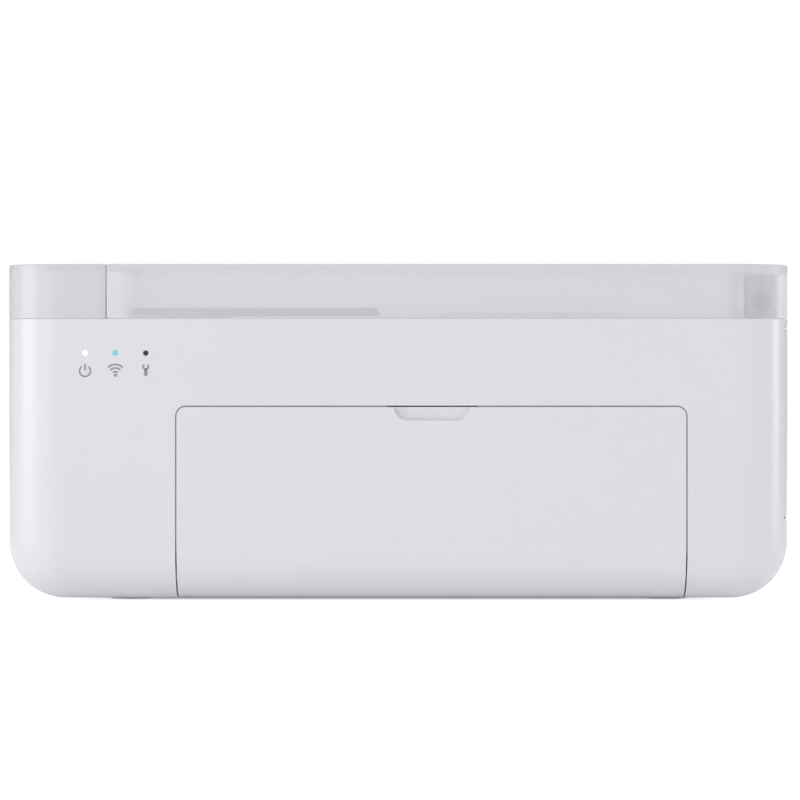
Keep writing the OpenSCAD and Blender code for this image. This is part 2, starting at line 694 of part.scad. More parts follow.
module ribbon_door() color([0.87, 0.87, 0.89]) difference() {
  union() {
    intersection() {
      difference() {
        shell_out();
        shell_in();
      }
      ribbon_zone(0);
    }
    yrod(rib_barrel_r, rib_bar_y, rib_bar_y2, rib_x, rib_z);
  }
  yrod(rib_rod_r + play, rib_bar_y - 1, rib_bar_y2 + 1, rib_x, rib_z);
  // Scoop for a finger at the upper edge
  translate([xr + 1.2, (rib_y + rib_y2) / 2, rib_z + rib_door_h]) rotate([90, 0, 0])
    cylinder(r = 2.4, h = 20, center = true);
}
module ribbon_door_rod() color([0.6, 0.6, 0.62])
  yrod(rib_rod_r, rib_bar_y - 3, rib_bar_y2 + 3, rib_x, rib_z);

// Chassis
module side_plate(x0) across(x0, x0 + plate_t) difference() {
  round_rect([plate_front, zb + wall + 0.1], [plate_back, plate_top], 4);
  for (c = plate_seats) translate(c) circle(bearing_r + play);
  for (c = [c_pinch, c_out_pinch]) translate(c) circle(1.5 + play);
  translate(c_pick) circle(shaft_r + play);
  children();
}
module chassis_left() color([0.7, 0.7, 0.72]) {
  side_plate(plate_l - plate_t) {
    for (c = [c_take, c_supply]) translate(c) circle(4);
    round_rect([plate_front + 7, floor_z + 6], [plate_back - 8, floor_z + 15], 3);
  }
  difference() {
    box([plate_l - plate_t - plate_flange, plate_front + 8, floor_z],
      [plate_l - 0.1, flange_end, floor_z + 1.2]);
    for (y = flange_screws) zrod(1.05, floor_z - 1, floor_z + 3, [plate_l - flange_out, y]);
  }
  // Studs of the idlers and of the reduction gear
  xrod(1.5, layer_a - 0.4, plate_l - plate_t + 0.1, c_idler);
  xrod(1.5, bracket_x + 1.2, plate_l - plate_t + 0.1, c_reduce);
}
module chassis_right() color([0.7, 0.7, 0.72]) {
  side_plate(plate_r) {
    for (c = [c_supply, c_take]) round_rect(c - [win_r, win_r], c + [win_r, win_r], 3);
    translate([c_supply[0] - win_r, paper_z + 0.4]) square([c_take[0] - c_supply[0] + 2 * win_r, 3.8]);
    round_rect([plate_front + 7, floor_z + 6], [plate_back - 8, floor_z + 15], 3);
  }
  difference() {
    box([plate_r + 0.1, plate_front + 8, floor_z],
      [plate_r + plate_t + plate_flange, flange_end, floor_z + 1.2]);
    for (y = flange_screws) zrod(1.05, floor_z - 1, floor_z + 3, [plate_r + flange_out, y]);
  }
}
module tie_bars() color([0.65, 0.65, 0.67]) for (c = tie_at) difference() {
  box([plate_l, c[0] - 3, c[1] - 1.5], [plate_r, c[0] + 3, c[1] + 1.5]);
  for (x = [plate_l - 1, plate_r - 6]) xrod(0.9, x, x + 7, c);
}
module bearings() color([0.85, 0.7, 0.45])
  for (c = [c_platen, c_capstan, c_exit, c_cam], x = [plate_l - plate_t, plate_r]) difference() {
    union() {
      xrod(bearing_r, x, x + plate_t, c);
      xrod(bearing_r + 0.8, x < 0 ? x + plate_t : x - 0.8, x < 0 ? x + plate_t + 0.8 : x, c);
    }
    xrod(shaft_r + play, x - 2, x + plate_t + 2, c);
  }

// Bracket that carries both motors outside the gears
module gear_bracket() color([0.7, 0.7, 0.72]) {
  across(bracket_x, bracket_x + bracket_t) difference() {
    round_rect([c_motor[0] - 9, floor_z + 4], [c_cam[0] + 12, plate_top], 3);
    translate(c_motor) circle(5);
    translate(c_cam_motor) circle(4);
    translate(c_cam) circle(shaft_r + 0.3);
    translate(c_reduce) circle(1.5 + play);
    round_rect([c_platen[0] - 7, c_platen[1] - 10], [c_platen[0] + 3, c_platen[1] + 10], 2);
  }
  // Foot and stand-offs
  box([bracket_x - 8, c_motor[0] + 4, floor_z], [bracket_x + bracket_t, c_cam[0] + 7, floor_z + 1.2]);
  box([bracket_x, c_motor[0] + 4, floor_z], [bracket_x + bracket_t, c_cam[0] + 7, floor_z + 5]);
  for (c = standoffs) xrod(1.6, bracket_x + bracket_t - 0.1, plate_l - plate_t, c);
}
module drive_motor() color([0.6, 0.6, 0.62]) {
  difference() {
    xrod(motor_r, motor_back, bracket_x, c_motor);
    for (a = [0 : 60 : 300]) xrod(1, motor_back - 1, motor_back + 1.2, c_motor + 8 * [cos(a), sin(a)]);
  }
  xrod(1, bracket_x - 1, layer_c + gear_b, c_motor);
  xrod(4.9, bracket_x - 0.1, bracket_x + 1, c_motor);
}
module cam_motor() color([0.6, 0.6, 0.62]) {
  xrod(cam_motor_r, bracket_x - 20, bracket_x, c_cam_motor);
  xrod(1, bracket_x - 1, layer_c + gear_b, c_cam_motor);
  xrod(3.9, bracket_x - 0.1, bracket_x + 1, c_cam_motor);
}

// Spur gear from x0, with a hub, a bore and lightening holes
module gear(n, turn, c, x0, bore, holes = 0) difference() {
  translate([0, c[0], c[1]]) across(x0, x0 + gear_b) gear2d(n, turn);
  xrod(bore, x0 - 1, x0 + gear_b + 1, c);
  r = gear_m * n / 2;
  if (holes > 0) for (i = [0 : holes - 1])
    xrod(r * 0.17, x0 - 1, x0 + gear_b + 1, c + 0.6 * r * [cos(i * 360 / holes), sin(i * 360 / holes)]);
}
module motor_pinion() color([0.9, 0.75, 0.4]) gear(n_pinion, t_pinion, c_motor, layer_c, 1);
module cam_pinion() color([0.9, 0.75, 0.4]) gear(n_pinion, t_cam_pinion, c_cam_motor, layer_c, 1);
module reduction_gear() color([0.95, 0.95, 0.93]) {
  gear(n_big, t_small, c_reduce, layer_c, 1.5 + play, 6);
  gear(n_small, t_small, c_reduce, layer_b, 1.5 + play);
  difference() {
    xrod(3.2, layer_c + gear_b - 0.1, layer_b + 0.1, c_reduce);
    xrod(1.5 + play, layer_c, layer_a, c_reduce);
  }
}
module exit_idler() color([0.95, 0.95, 0.93]) gear(n_exit, t_j, c_reduce, layer_a, 1.5 + play);
module capstan_idler() color([0.95, 0.95, 0.93]) gear(n_idler, t_idler, c_idler, layer_a, 1.5 + play, 5);

// Roller on a stepped shaft that runs in both plates
module roller(r, c, from) {
  xrod(r, plate_l + 2.4, plate_r - 2.4, c);
  xrod(shaft_r, from, plate_r + plate_t + 1.5, c);
  xrod(shaft_r + 1, plate_l + 1, plate_r - 1, c);
}
module platen() color([0.25, 0.25, 0.27]) {
  roller(platen_r, c_platen, layer_b - 0.6);
  gear(n_platen, t_platen, c_platen, layer_a, shaft_r - 0.1, 6);
  gear(n_platen_b, t_platen, c_platen, layer_b, shaft_r - 0.1, 6);
  xrod(4, layer_b + gear_b - 0.1, layer_a + 0.1, c_platen);
}
module capstan() color([0.7, 0.7, 0.72]) {
  roller(capstan_r, c_capstan, layer_a - 0.6);
  gear(n_capstan, t_capstan, c_capstan, layer_a, shaft_r - 0.1);
}
module exit_roller() color([0.3, 0.3, 0.32]) {
  roller(exit_r, c_exit, layer_a - 0.6);
  gear(n_exit, t_exit, c_exit, layer_a, shaft_r - 0.1);
}
module pinch(r, c, spans) {
  xrod(1.5, plate_l - plate_t - 0.5, plate_r + plate_t + 0.5, c);
  for (s = spans) xrod(r, s[0], s[1], c);
}
module capstan_pinch() color([0.3, 0.3, 0.32]) pinch(pinch_r, c_pinch, [[plate_l + 6, plate_r - 6]]);
module exit_pinch() color([0.3, 0.3, 0.32]) pinch(out_pinch_r, c_out_pinch,
  [for (i = [0 : 3]) let(x = paper_l + 6 + i * (paper_w - 28) / 3) [x, x + 12]]);

// Drive of the take-up core, with three ribs that enter the core
module take_up_drive() color([0.95, 0.95, 0.93]) {
  gear(n_take, t_take, c_take, layer_b, shaft_r - 0.1, 5);
  xrod(shaft_r, layer_b - 0.4, plate_l + 1, c_take);
  xrod(3.9, layer_b + gear_b - 0.1, plate_l + 0.3, c_take);
  xrod(spindle_r - 0.8, plate_l, plate_l + 8, c_take);
  for (a = [0, 120, 240]) translate([0, c_take[0], c_take[1]]) rotate([a, 0, 0])
    box([plate_l, -0.5, 0], [plate_l + 7, 0.5, spindle_r]);
}

// Camshaft
module cam_shape() polygon([for (a = [0 : 6 : 354]) cam_point(a)]);
module camshaft() color([0.6, 0.6, 0.62]) {
  xrod(shaft_r, bracket_x + bracket_t + 0.4, plate_r + plate_t + 0.8, c_cam);
  for (x = cam_x) translate([0, c_cam[0], c_cam[1]]) across(x, x + cam_w) rotate(270) cam_shape();
  gear(n_cam, 0, c_cam, layer_c, shaft_r - 0.1);
}

// Print head on a carrier that slides down in the plates
module head_carrier() color([0.75, 0.76, 0.78]) {
  box([carrier_x[0], head_y[0], head_z + 2], [carrier_x[1], head_y[1], head_z + 4]);
  for (i = [0 : 6]) {
    y = head_y[0] + i * (head_y[1] - head_y[0] - 1) / 6;
    box([cam_x[0] + cam_w + 3, y, head_z + 3.9], [cam_x[1] - 3, y + 1, sink_top]);
  }
  for (x = cam_x) {
    box([x - 0.8, c_cam[0] - 3, head_z + 3.9], [x + cam_w + 0.8, c_cam[0] + 3, head_top]);
  }
}
module print_head() color([0.85, 0.83, 0.78]) {
  box([paper_l - 3, c_platen[0] - 6, head_z + 1], [paper_r + 3, c_platen[0] + 6, head_z + 2]);
  intersection() {
    xrod(2.4, paper_l - 1, paper_r + 1, [c_platen[0], head_z + 2.4]);
    box([paper_l - 2, c_platen[0] - 3, head_z - 1], [paper_r + 2, c_platen[0] + 3, head_z + 1.1]);
  }
  // Plug of the head's cable
  box([paper_l + paper_w * 0.3, c_platen[0] - 6.6, head_z + 0.3],
    [paper_l + paper_w * 0.6, c_platen[0] - 4, head_z + 1.1]);
}
// Channels in which the carrier slides, fixed to the plates
module head_guides() color([0.3, 0.3, 0.32])
  for (x = [plate_l, plate_r - 2.4], y = [head_y[0] - 2.4, head_y[1] + 0.3])
    box([x, y, bridge_z[1] + 0.4], [x + 2.4, y + 2.1, sink_top + 1]);

// Pick-up roller on its arm above the cassette bay
module pickup_shaft() color([0.6, 0.6, 0.62])
  xrod(shaft_r, plate_l - plate_t - 0.5, plate_r + plate_t + 0.5, c_pick);
module pickup_arm() color([0.3, 0.3, 0.32]) {
  for (x = [door_x - pick_w / 2 - 3, door_x + pick_w / 2 + 1]) across(x, x + 2) difference() {
    union() {
      translate(c_pick) circle(shaft_r + 1.8);
      translate(c_pick_roller) circle(2.6);
      polygon([c_pick + [0, 3.6], c_pick - [0, 3.4], c_pick_roller - [0, 2.5], c_pick_roller + [0, 2.5]]);
    }
    translate(c_pick) circle(shaft_r + play);
    translate(c_pick_roller) circle(1.2 + play);
  }
  // Sleeve that joins the two cheeks
  difference() {
    xrod(shaft_r + 1.8, door_x - pick_w / 2 - 2, door_x + pick_w / 2 + 2, c_pick);
    xrod(shaft_r + play, door_x - pick_w, door_x + pick_w, c_pick);
  }
}
module pickup_roller() color([0.25, 0.25, 0.27]) {
  xrod(1.2, door_x - pick_w / 2 - 3.4, door_x + pick_w / 2 + 3.4, c_pick_roller);
  xrod(pick_r, door_x - pick_w / 2, door_x + pick_w / 2, c_pick_roller);
}

// Ribbon cartridge
module cartridge_case() color([0.75, 0.78, 0.82]) {
  for (c = [c_supply, c_take]) difference() {
    xrod(tube_r, cart_l, cart_r, c);
    xrod(tube_in, cart_l + 1.2, cart_r - 1.2, c);
    xrod(core_r + 0.3, cart_l - 1, cart_l + 2, c);
    xrod(2.4, cart_r - 2, cart_r + 1, c);
    // Slot for the film
    box([paper_l - 2, c[0] - 3, c[1] - tube_r - 1], [paper_r + 2, c[0] + 3, c[1] - tube_in + 1]);
  }
  // Bridges between the tubes; the inner one dips to pass under the lowered head
  box([cart_r - 2.4, c_supply[0] - 5, bridge_z[0]], [cart_r, c_take[0] + 5, bridge_z[1]]);
  difference() {
    box([cart_l, c_supply[0] - 5, dip_z[0]], [cart_l + 2.4, c_take[0] + 5, bridge_z[1]]);
    box([cart_l - 1, head_y[0] - 0.5, dip_z[1]], [cart_l + 3.4, head_y[1] + 0.5, bridge_z[1] + 1]);
  }
  for (c = [c_supply, c_take], x = [cart_l, cart_r - 2.4])
    box([x, c[0] - 5, bridge_z[0]], [x + 2.4, c[0] + 5, c[1] - tube_r + 2]);
  // Grip at the outer end
  difference() {
    box([cart_r - 2.4, c_supply[0], bridge_z[0]], [cart_r, c_take[0], bridge_z[0] + 9]);
    for (c = [c_supply, c_take]) xrod(tube_in, cart_r - 4, cart_r + 1, c);
  }
  box([cart_r - 0.1, c_platen[0] - 9, bridge_z[0] + 3], [cart_r + 8, c_platen[0] + 9, bridge_z[0] + 5.4]);
}
module ribbon_film() color([0.25, 0.2, 0.3])
  box([paper_l - 1, c_supply[0] - 2, film_z], [paper_r + 1, c_take[0] + 2, film_z + film_t]);
module spool(c, roll) difference() {
  union() {
    xrod(core_r, cart_l + 0.2, cart_r - 1.6, c);
    xrod(2.2, cart_r - 1.8, cart_r - 0.2, c);
    xrod(roll, paper_l - 1, paper_r + 1, c);
    for (x = [paper_l - 2.2, paper_r + 1]) xrod(tube_in - 0.4, x, x + 1.2, c);
  }
  xrod(spindle_r + thin, cart_l - 1, plate_l + 9, c);
}
module supply_spool() color([0.3, 0.22, 0.35]) spool(c_supply, 7.6);
module take_up_spool() color([0.3, 0.22, 0.35]) spool(c_take, 5);

// Paper cassette, which is kept under the lid
module cass_side(low, high) polygon([[cass_x, max(base_z, low)], [step_x, max(base_z, low)],
  [step_x + step_run, low], [cass_x2, low], [cass_x2, high], [cass_x, high]]);
module upright(y0, y1) translate([0, y1, 0]) rotate([90, 0, 0]) linear_extrude(y1 - y0) children();
module cassette_base() color([0.86, 0.86, 0.88]) difference() {
  upright(cass_y, cass_y2) cass_side(cass_z, cass_split);
  // Paper room, stepped like the outside
  box([cass_x + cass_wall, cass_y + cass_wall, base_z + cass_wall],
    [cass_x2 - cass_wall, cass_y2 - cass_wall, cass_top]);
  box([step_x + step_run + cass_wall, cass_y + cass_wall, cass_z + cass_wall],
    [cass_x2 - cass_wall, cass_y2 - cass_wall, cass_top]);
  // Grip hollows in both long sides
  for (y = [cass_y - 1, cass_y2 - 0.9]) translate([0, y, 0]) upright(0, 1.9)
    round_rect([step_x + grip_in, cass_z + 2], [step_x + grip_in + grip_l, cass_z + 8.5], 3);
}
module cassette_cover() color([0.9, 0.9, 0.92]) {
  difference() {
    box([cass_x, cass_y, cass_split], [cass_x2, cass_y2, cass_top]);
    box([cass_x + cass_wall, cass_y + cass_wall, cass_split - 1],
      [cass_x2 - cass_wall, cass_y2 - cass_wall, cass_top - cass_wall]);
    // Window for the pick-up roller
    translate([0, 0, cass_split]) linear_extrude(4)
      round_rect([cass_x + 12, cass_y + cass_w / 2 - 13], [cass_x + 34, cass_y + cass_w / 2 + 13], 3);
  }
}
module paper_stack() color([0.97, 0.97, 0.96])
  box([paper_end - sheet_l, paper_y, stack_z], [paper_end, paper_y + paper_w, stack_z + stack_h]);
module lift_plate() color([0.7, 0.7, 0.72]) difference() {
  translate([0, 0, stack_z - lift_t]) linear_extrude(lift_t) round_rect(lift_lo, lift_hi, 3);
  for (s = [-1 : 1]) zrod(5, stack_z - 2, stack_z + 1, lift_mid + [s * 20, 0]);
}
// Leaf springs under the lift plate, each with a flat foot and a flat top
module lift_springs() color([0.6, 0.6, 0.62]) for (s = [-1, 1]) {
  y = lift_mid[1] + s * (paper_w / 2 - 22);
  a = lift_mid[0] - leaf_foot - leaf_rise / 2;
  b = a + leaf_foot + leaf_rise;
  low = cass_z + cass_wall;
  top = stack_z - lift_t;
  upright(y - 5, y + 5) polygon([[a, low], [a + leaf_foot, low], [b, top - leaf_t],
    [b + leaf_foot, top - leaf_t], [b + leaf_foot, top], [b - thin, top],
    [a + leaf_foot - thin, low + leaf_t], [a, low + leaf_t]]);
}

// Guides of the paper path and runners of the cassette bay
module paper_guides() color([0.3, 0.3, 0.32]) {
  for (g = guide_y) {
    far = min(g[1], plate_back);
    box([plate_l, g[0], paper_z - 1.4], [plate_r, far, paper_z - 0.4]);
    if (far < g[1]) box([paper_l - 1, far - 0.1, paper_z - 1.4], [paper_r + 1, g[1], paper_z - 0.4]);
    for (i = [0 : 8]) translate([paper_l + 4 + i * (paper_w - 8) / 8, 0, paper_z])
      box([0, g[0] + 0.5, -3.4], [1, far - 0.5, -1.3]);
  }
  for (s = [0, 1], z = [zb + wall + 0.1, floor_z + 19.6])
    box([s == 0 ? plate_l : plate_r - 5, plate_front + 8, z],
      [s == 0 ? plate_l + 5 : plate_r, plate_back - 8, z + 1.4]);
}

// Fan, boards and sockets
module fan_frame() color([0.2, 0.2, 0.22]) {
  difference() {
    upright(fan_y, fan_y + fan_t) round_rect(fan_c - [fan_s, fan_s] / 2, fan_c + [fan_s, fan_s] / 2, 2);
    yrod(fan_s / 2 - 1.2, fan_y - 1, fan_y + fan_t + 1, fan_c[0], fan_c[1]);
    for (x = [-1, 1], z = [-1, 1]) yrod(1.2, fan_y - 1, fan_y + fan_t + 1,
      fan_c[0] + x * (fan_s / 2 - 2.8), fan_c[1] + z * (fan_s / 2 - 2.8));
  }
  // Spider that carries the hub
  yrod(4.5, fan_y, fan_y + 1.2, fan_c[0], fan_c[1]);
  for (a = [45 : 90 : 315]) translate([fan_c[0], fan_y, fan_c[1]]) rotate([0, a, 0])
    box([4, 0, -0.7], [fan_s / 2 - 0.8, 1.2, 0.7]);
  yrod(0.8, fan_y + 1, fan_y + fan_t - 1.8, fan_c[0], fan_c[1]);
}
module fan_rotor() color([0.25, 0.25, 0.27]) difference() {
  union() {
    yrod(4.6, fan_y + 1.5, fan_y + fan_t - 1.2, fan_c[0], fan_c[1]);
    for (a = [0 : 360 / 7 : 359]) translate([fan_c[0], 0, fan_c[1]]) rotate([0, a, 0])
      translate([4.3, fan_y + fan_t / 2, 0]) rotate([38, 0, 0])
        translate([0, -2, -0.3]) cube([fan_s / 2 - 6.2, 4, 0.6]);
  }
  yrod(0.8 + play, fan_y, fan_y + fan_t - 1.7, fan_c[0], fan_c[1]);
}
module main_board() color([0.15, 0.4, 0.2]) {
  difference() {
    box([main_x[0], main_y[0], main_z], [main_x[1], main_y[1], main_z + board_t]);
    for (p = main_posts) zrod(1.1, main_z - 1, main_z + 3, p);
  }
  // Processor and smaller chips: place on the board, size and height
  for (c = [[[7.8, 9], [12, 12], 1.6], [[15.8, 21], [6, 8], 2], [[3.8, 23], [4, 4], 1.5]])
    translate([main_x[0] + c[0][0], main_y[0] + c[0][1], main_z + board_t])
      cube([c[1][0], c[1][1], c[2]]);
  for (y = [5, 13]) zrod(2.6, main_z + board_t, main_z + board_t + 7, [main_x[1] - 4.5, main_y[0] + y]);
}
module dc_inlet() color([0.1, 0.1, 0.1]) {
  difference() {
    union() {
      box([inlet_x - 4.5, yr - 14, main_z + board_t], [inlet_x + 4.5, yr - wall - 0.3, inlet_z + 5]);
      yrod(inlet_r + 1.2, yr - wall - 0.4, yr - 0.3, inlet_x, inlet_z);
    }
    yrod(inlet_r, yr - 11, yr + 1, inlet_x, inlet_z);
  }
  yrod(0.8, yr - 11.1, yr - 2, inlet_x, inlet_z);
}
module usb_port() color([0.7, 0.7, 0.72]) difference() {
  box([usb_x - 6, yr - 15, main_z + board_t], [usb_x + 6, yr - 0.4, inlet_z + 5]);
  box([usb_x - 5, yr - 11, inlet_z - 4.2], [usb_x + 5, yr + 1, inlet_z + 4]);
}
module screw(z0, z1, p, head) {
  zrod(1, z0, z1, p);
  zrod(head ? 1.8 : 2.1, head ? z1 - 1.3 : z0, head ? z1 : z0 + 1.1, p);
}
module screws() color([0.5, 0.5, 0.52]) {
  for (p = boss_xy) screw(seam - tray_t - 8, seam + 1.3, p, true);
  for (p = base_screws) screw(zb + 0.1, floor_z + 2.8, p, false);
}

housing();
base_plate();
feet();
storage_tray();
left_cap();
hinge_rail();
storage_lid();
lid_hinge_pins();
catch_magnet();
front_door();
front_door_pins();
ribbon_door();
ribbon_door_rod();
power_button();
button_board();
power_light();
network_light();
service_light();
light_board();
chassis_left();
chassis_right();
tie_bars();
gear_bracket();
drive_motor();
motor_pinion();
reduction_gear();
exit_idler();
capstan_idler();
platen();
capstan();
exit_roller();
capstan_pinch();
exit_pinch();
take_up_drive();
camshaft();
cam_motor();
cam_pinion();
head_carrier();
print_head();
head_guides();
pickup_shaft();
pickup_arm();
pickup_roller();
cartridge_case();
ribbon_film();
supply_spool();
take_up_spool();
cassette_base();
cassette_cover();
lift_plate();
lift_springs();
paper_stack();
paper_guides();
fan_frame();
fan_rotor();
main_board();
dc_inlet();
usb_port();
bearings();
screws();
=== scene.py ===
import math

import bmesh
import bpy
from mathutils import Matrix, Vector


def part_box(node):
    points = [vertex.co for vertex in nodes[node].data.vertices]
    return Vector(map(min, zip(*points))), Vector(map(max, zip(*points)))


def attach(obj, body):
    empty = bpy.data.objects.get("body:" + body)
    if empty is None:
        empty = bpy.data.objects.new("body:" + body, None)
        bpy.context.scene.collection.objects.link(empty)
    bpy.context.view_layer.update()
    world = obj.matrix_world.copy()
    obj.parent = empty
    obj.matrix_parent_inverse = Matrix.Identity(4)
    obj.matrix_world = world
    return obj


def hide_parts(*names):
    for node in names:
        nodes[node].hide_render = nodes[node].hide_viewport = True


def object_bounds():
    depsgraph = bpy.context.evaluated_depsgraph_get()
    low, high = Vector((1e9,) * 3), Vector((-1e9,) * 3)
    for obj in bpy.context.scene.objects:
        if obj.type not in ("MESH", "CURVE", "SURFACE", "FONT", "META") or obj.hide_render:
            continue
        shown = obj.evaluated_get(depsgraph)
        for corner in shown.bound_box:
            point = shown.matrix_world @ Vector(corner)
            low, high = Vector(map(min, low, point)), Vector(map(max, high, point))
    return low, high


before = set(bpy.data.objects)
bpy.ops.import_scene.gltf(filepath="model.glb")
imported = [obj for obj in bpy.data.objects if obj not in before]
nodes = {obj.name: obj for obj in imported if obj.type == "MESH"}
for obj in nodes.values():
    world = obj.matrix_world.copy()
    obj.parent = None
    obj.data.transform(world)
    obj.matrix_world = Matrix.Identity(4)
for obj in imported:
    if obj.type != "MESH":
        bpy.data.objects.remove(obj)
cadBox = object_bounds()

mm = 0.001
weld = 0.001 * mm  # points nearer than this are one
white = (1, 1, 1, 1)
print("frame loaded:", len(nodes), "nodes")


def addObject(name, data):
    thing = bpy.data.objects.new(name, data)
    bpy.context.scene.collection.objects.link(thing)
    return thing


view = {
    # places in metres from the middle of the printer, lens and sensor in mm
    "distance": 1.080,
    "height": 0.0502,
    "side": 0.0004,
    "lens": 185.6,
    "sensor": 36,
    "near": 0.05,
    "far": 50,
}


def addCamera():
    # Level, straight at the front
    camera = addObject("camera", bpy.data.cameras.new("camera"))
    camera.data.lens = view["lens"]
    camera.data.sensor_width = view["sensor"]
    camera.data.clip_start = view["near"]
    camera.data.clip_end = view["far"]
    camera.location = (view["side"], -view["distance"], view["height"])
    camera.rotation_euler = (math.pi / 2, 0, 0)
    bpy.context.scene.camera = camera
    bpy.context.scene.view_settings.view_transform = "Standard"


studio = {
    "world": 0.36,
    "lamps": [
        # name, place, size, power, aim; lengths in metres, power in watts
        ("key", (-0.60, -1.30, 0.75), (1.6, 1.0), 7.5, (0, 0, 0.04)),
        ("fill", (0.85, -1.25, 0.55), (1.2, 1.0), 3.0, (0, 0, 0.04)),
        ("leftBox", (-0.93, -0.25, 0.25), (0.58, 0.5), 2.3, (-0.09, -0.05, 0.04)),
        ("rightBox", (0.95, 0.10, 0.25), (0.28, 0.5), 1.6, (0.09, -0.05, 0.04)),
        ("top", (0.0, 0.15, 1.25), (0.9, 0.9), 3.2, (0, 0, 0.04)),
        ("back", (0.15, 1.1, 0.6), (0.9, 0.6), 3.2, (0, 0, 0.04)),
    ],
    "floorTone": 0.88,
    "floorRough": 0.8,
    "floorGlow": 0.6,
    "floorBounce": 0.17,
    "floorShadowPainted": (26, 8),  # mm inside the outline where the floor's glow is dimmed to a painted shadow under the object, and over how far
    "floorSize": 6.0,
    "floorLevel": -0.02,  # in mm
}


def addNode(tree, kind, settings=None, **inputs):
    # An input goes by its label, or as i0, i1, i2 by its place; it takes a value or a socket
    node = tree.nodes.new(kind)
    for key, value in (settings or {}).items():
        setattr(node, key, value)
    for key, value in inputs.items():
        socket = node.inputs[int(key[1:])] if key[0] == "i" and key[1:].isdigit() else node.inputs[key]
        if isinstance(value, bpy.types.NodeSocket):
            tree.links.new(value, socket)
        else:
            socket.default_value = value
    return node


def addLamps():
    for name, place, size, power, aim in studio["lamps"]:
        lamp = bpy.data.lights.new(name, "AREA")
        lamp.shape = "RECTANGLE"
        lamp.size, lamp.size_y = size
        lamp.energy = power
        piece = addObject(name, lamp)
        piece.location = place
        piece.rotation_euler = (Vector(aim) - Vector(place)).to_track_quat("-Z", "Y").to_euler()


def addWorld():
    world = bpy.data.worlds.new("studio")
    bpy.context.scene.world = world
    world.use_nodes = True
    tree = world.node_tree
    sky = tree.nodes["Background"]
    sky.inputs["Color"].default_value = white
    sky.inputs["Strength"].default_value = studio["world"]
    # The backdrop that the camera sees is plain white, whatever the light is
    backdrop = addNode(tree, "ShaderNodeBackground", Color=white, Strength=1.0)
    path = addNode(tree, "ShaderNodeLightPath")
    mix = addNode(tree, "ShaderNodeMixShader", Fac=path.outputs["Is Camera Ray"],
                  i1=sky.outputs["Background"], i2=backdrop.outputs["Background"])
    tree.links.new(mix.outputs["Shader"], tree.nodes["World Output"].inputs["Surface"])


addCamera()
addLamps()
addWorld()
print("camera and light ready")


def linear(r, g, b):
    # A screen colour, 0 to 255, as the linear one that nodes take
    def one(c):
        c /= 255
        return c / 12.92 if c <= 0.04045 else ((c + 0.055) / 1.055) ** 2.4
    return (one(r), one(g), one(b), 1)


def newGroup(name, inputs, outputs, kind="ShaderNodeTree"):
    tree = bpy.data.node_groups.new(name, kind)
    for side, sockets in (("INPUT", inputs), ("OUTPUT", outputs)):
        for label, socket in sockets.items():
            tree.interface.new_socket(name=label, in_out=side, socket_type="NodeSocket" + socket)
    return tree, tree.nodes.new("NodeGroupInput"), tree.nodes.new("NodeGroupOutput")


def useGroup(tree, group, **inputs):
    return addNode(tree, "ShaderNodeGroup", {"node_tree": group}, **inputs)


def times(tree, a, b, clamp=False):
    settings = {"operation": "MULTIPLY", "use_clamp": clamp}
    return addNode(tree, "ShaderNodeMath", settings, i0=a, i1=b).outputs[0]


def remap(tree, value, low=0.0, high=1.0, least=0.0, most=1.0):
    # low to high becomes least to most, and what lies outside stays at its end
    ends = {"From Min": low, "From Max": high, "To Min": least, "To Max": most}
    return addNode(tree, "ShaderNodeMapRange", Value=value, **ends).outputs["Result"]


def rise(tree, value, edge, soft):
    # 0 below the edge and 1 above it, lengths in mm
    return remap(tree, value, (edge - soft) * mm, (edge + soft) * mm)


def placeOf(tree):
    # Where a point lies in the piece's own space
    return addNode(tree, "ShaderNodeTexCoord").outputs["Object"]


def splitPlace(tree):
    return addNode(tree, "ShaderNodeSeparateXYZ", Vector=placeOf(tree)).outputs


def blend(tree, mask, a, b, kind="MIX"):
    return addNode(tree, "ShaderNodeMix", {"data_type": "RGBA", "blend_type": kind},
                   Factor=mask, A=a, B=b).outputs["Result"]


grainNoise = {"detail": 3.0, "rough": 0.6, "slowSize": 22.0, "slowDetail": 4.0}


def makeGrain():
    # Fine moulded grain: a height for the bump and a slow tone change
    tree, start, end = newGroup("fineGrain", {"Size": "Float", "Stretch": "Vector"},
                                {"Height": "Float", "Tone": "Float"})
    place = placeOf(tree)
    bend = addNode(tree, "ShaderNodeVectorMath", {"operation": "MULTIPLY"},
                   i0=place, i1=start.outputs["Stretch"])
    fine = addNode(tree, "ShaderNodeTexNoise", Vector=bend.outputs[0], Scale=start.outputs["Size"],
                   Detail=grainNoise["detail"], Roughness=grainNoise["rough"])
    slow = addNode(tree, "ShaderNodeTexNoise", Vector=place, Scale=grainNoise["slowSize"],
                   Detail=grainNoise["slowDetail"])
    tree.links.new(fine.outputs["Fac"], end.inputs["Height"])
    tree.links.new(slow.outputs["Fac"], end.inputs["Tone"])
    return tree


dustNoise = {"facing": 0.2, "detail": 6.0, "rough": 0.7, "low": 0.48, "high": 0.72}


def makeDust():
    # Faint dust: strongest on faces that look up
    tree, start, end = newGroup("dust", {"Amount": "Float", "Size": "Float"}, {"Mask": "Float"})
    shape = addNode(tree, "ShaderNodeNewGeometry")
    split = addNode(tree, "ShaderNodeSeparateXYZ", Vector=shape.outputs["Normal"])
    up = remap(tree, split.outputs["Z"], dustNoise["facing"])
    specks = addNode(tree, "ShaderNodeTexNoise", Vector=placeOf(tree), Scale=start.outputs["Size"],
                     Detail=dustNoise["detail"], Roughness=dustNoise["rough"])
    cut = remap(tree, specks.outputs["Fac"], dustNoise["low"], dustNoise["high"])
    level = times(tree, times(tree, up, cut), start.outputs["Amount"], True)
    tree.links.new(level, end.inputs["Mask"])
    return tree


wearNoise = {"detail": 8.0, "rough": 0.65, "twist": 0.6, "low": 0.5, "high": 0.75}


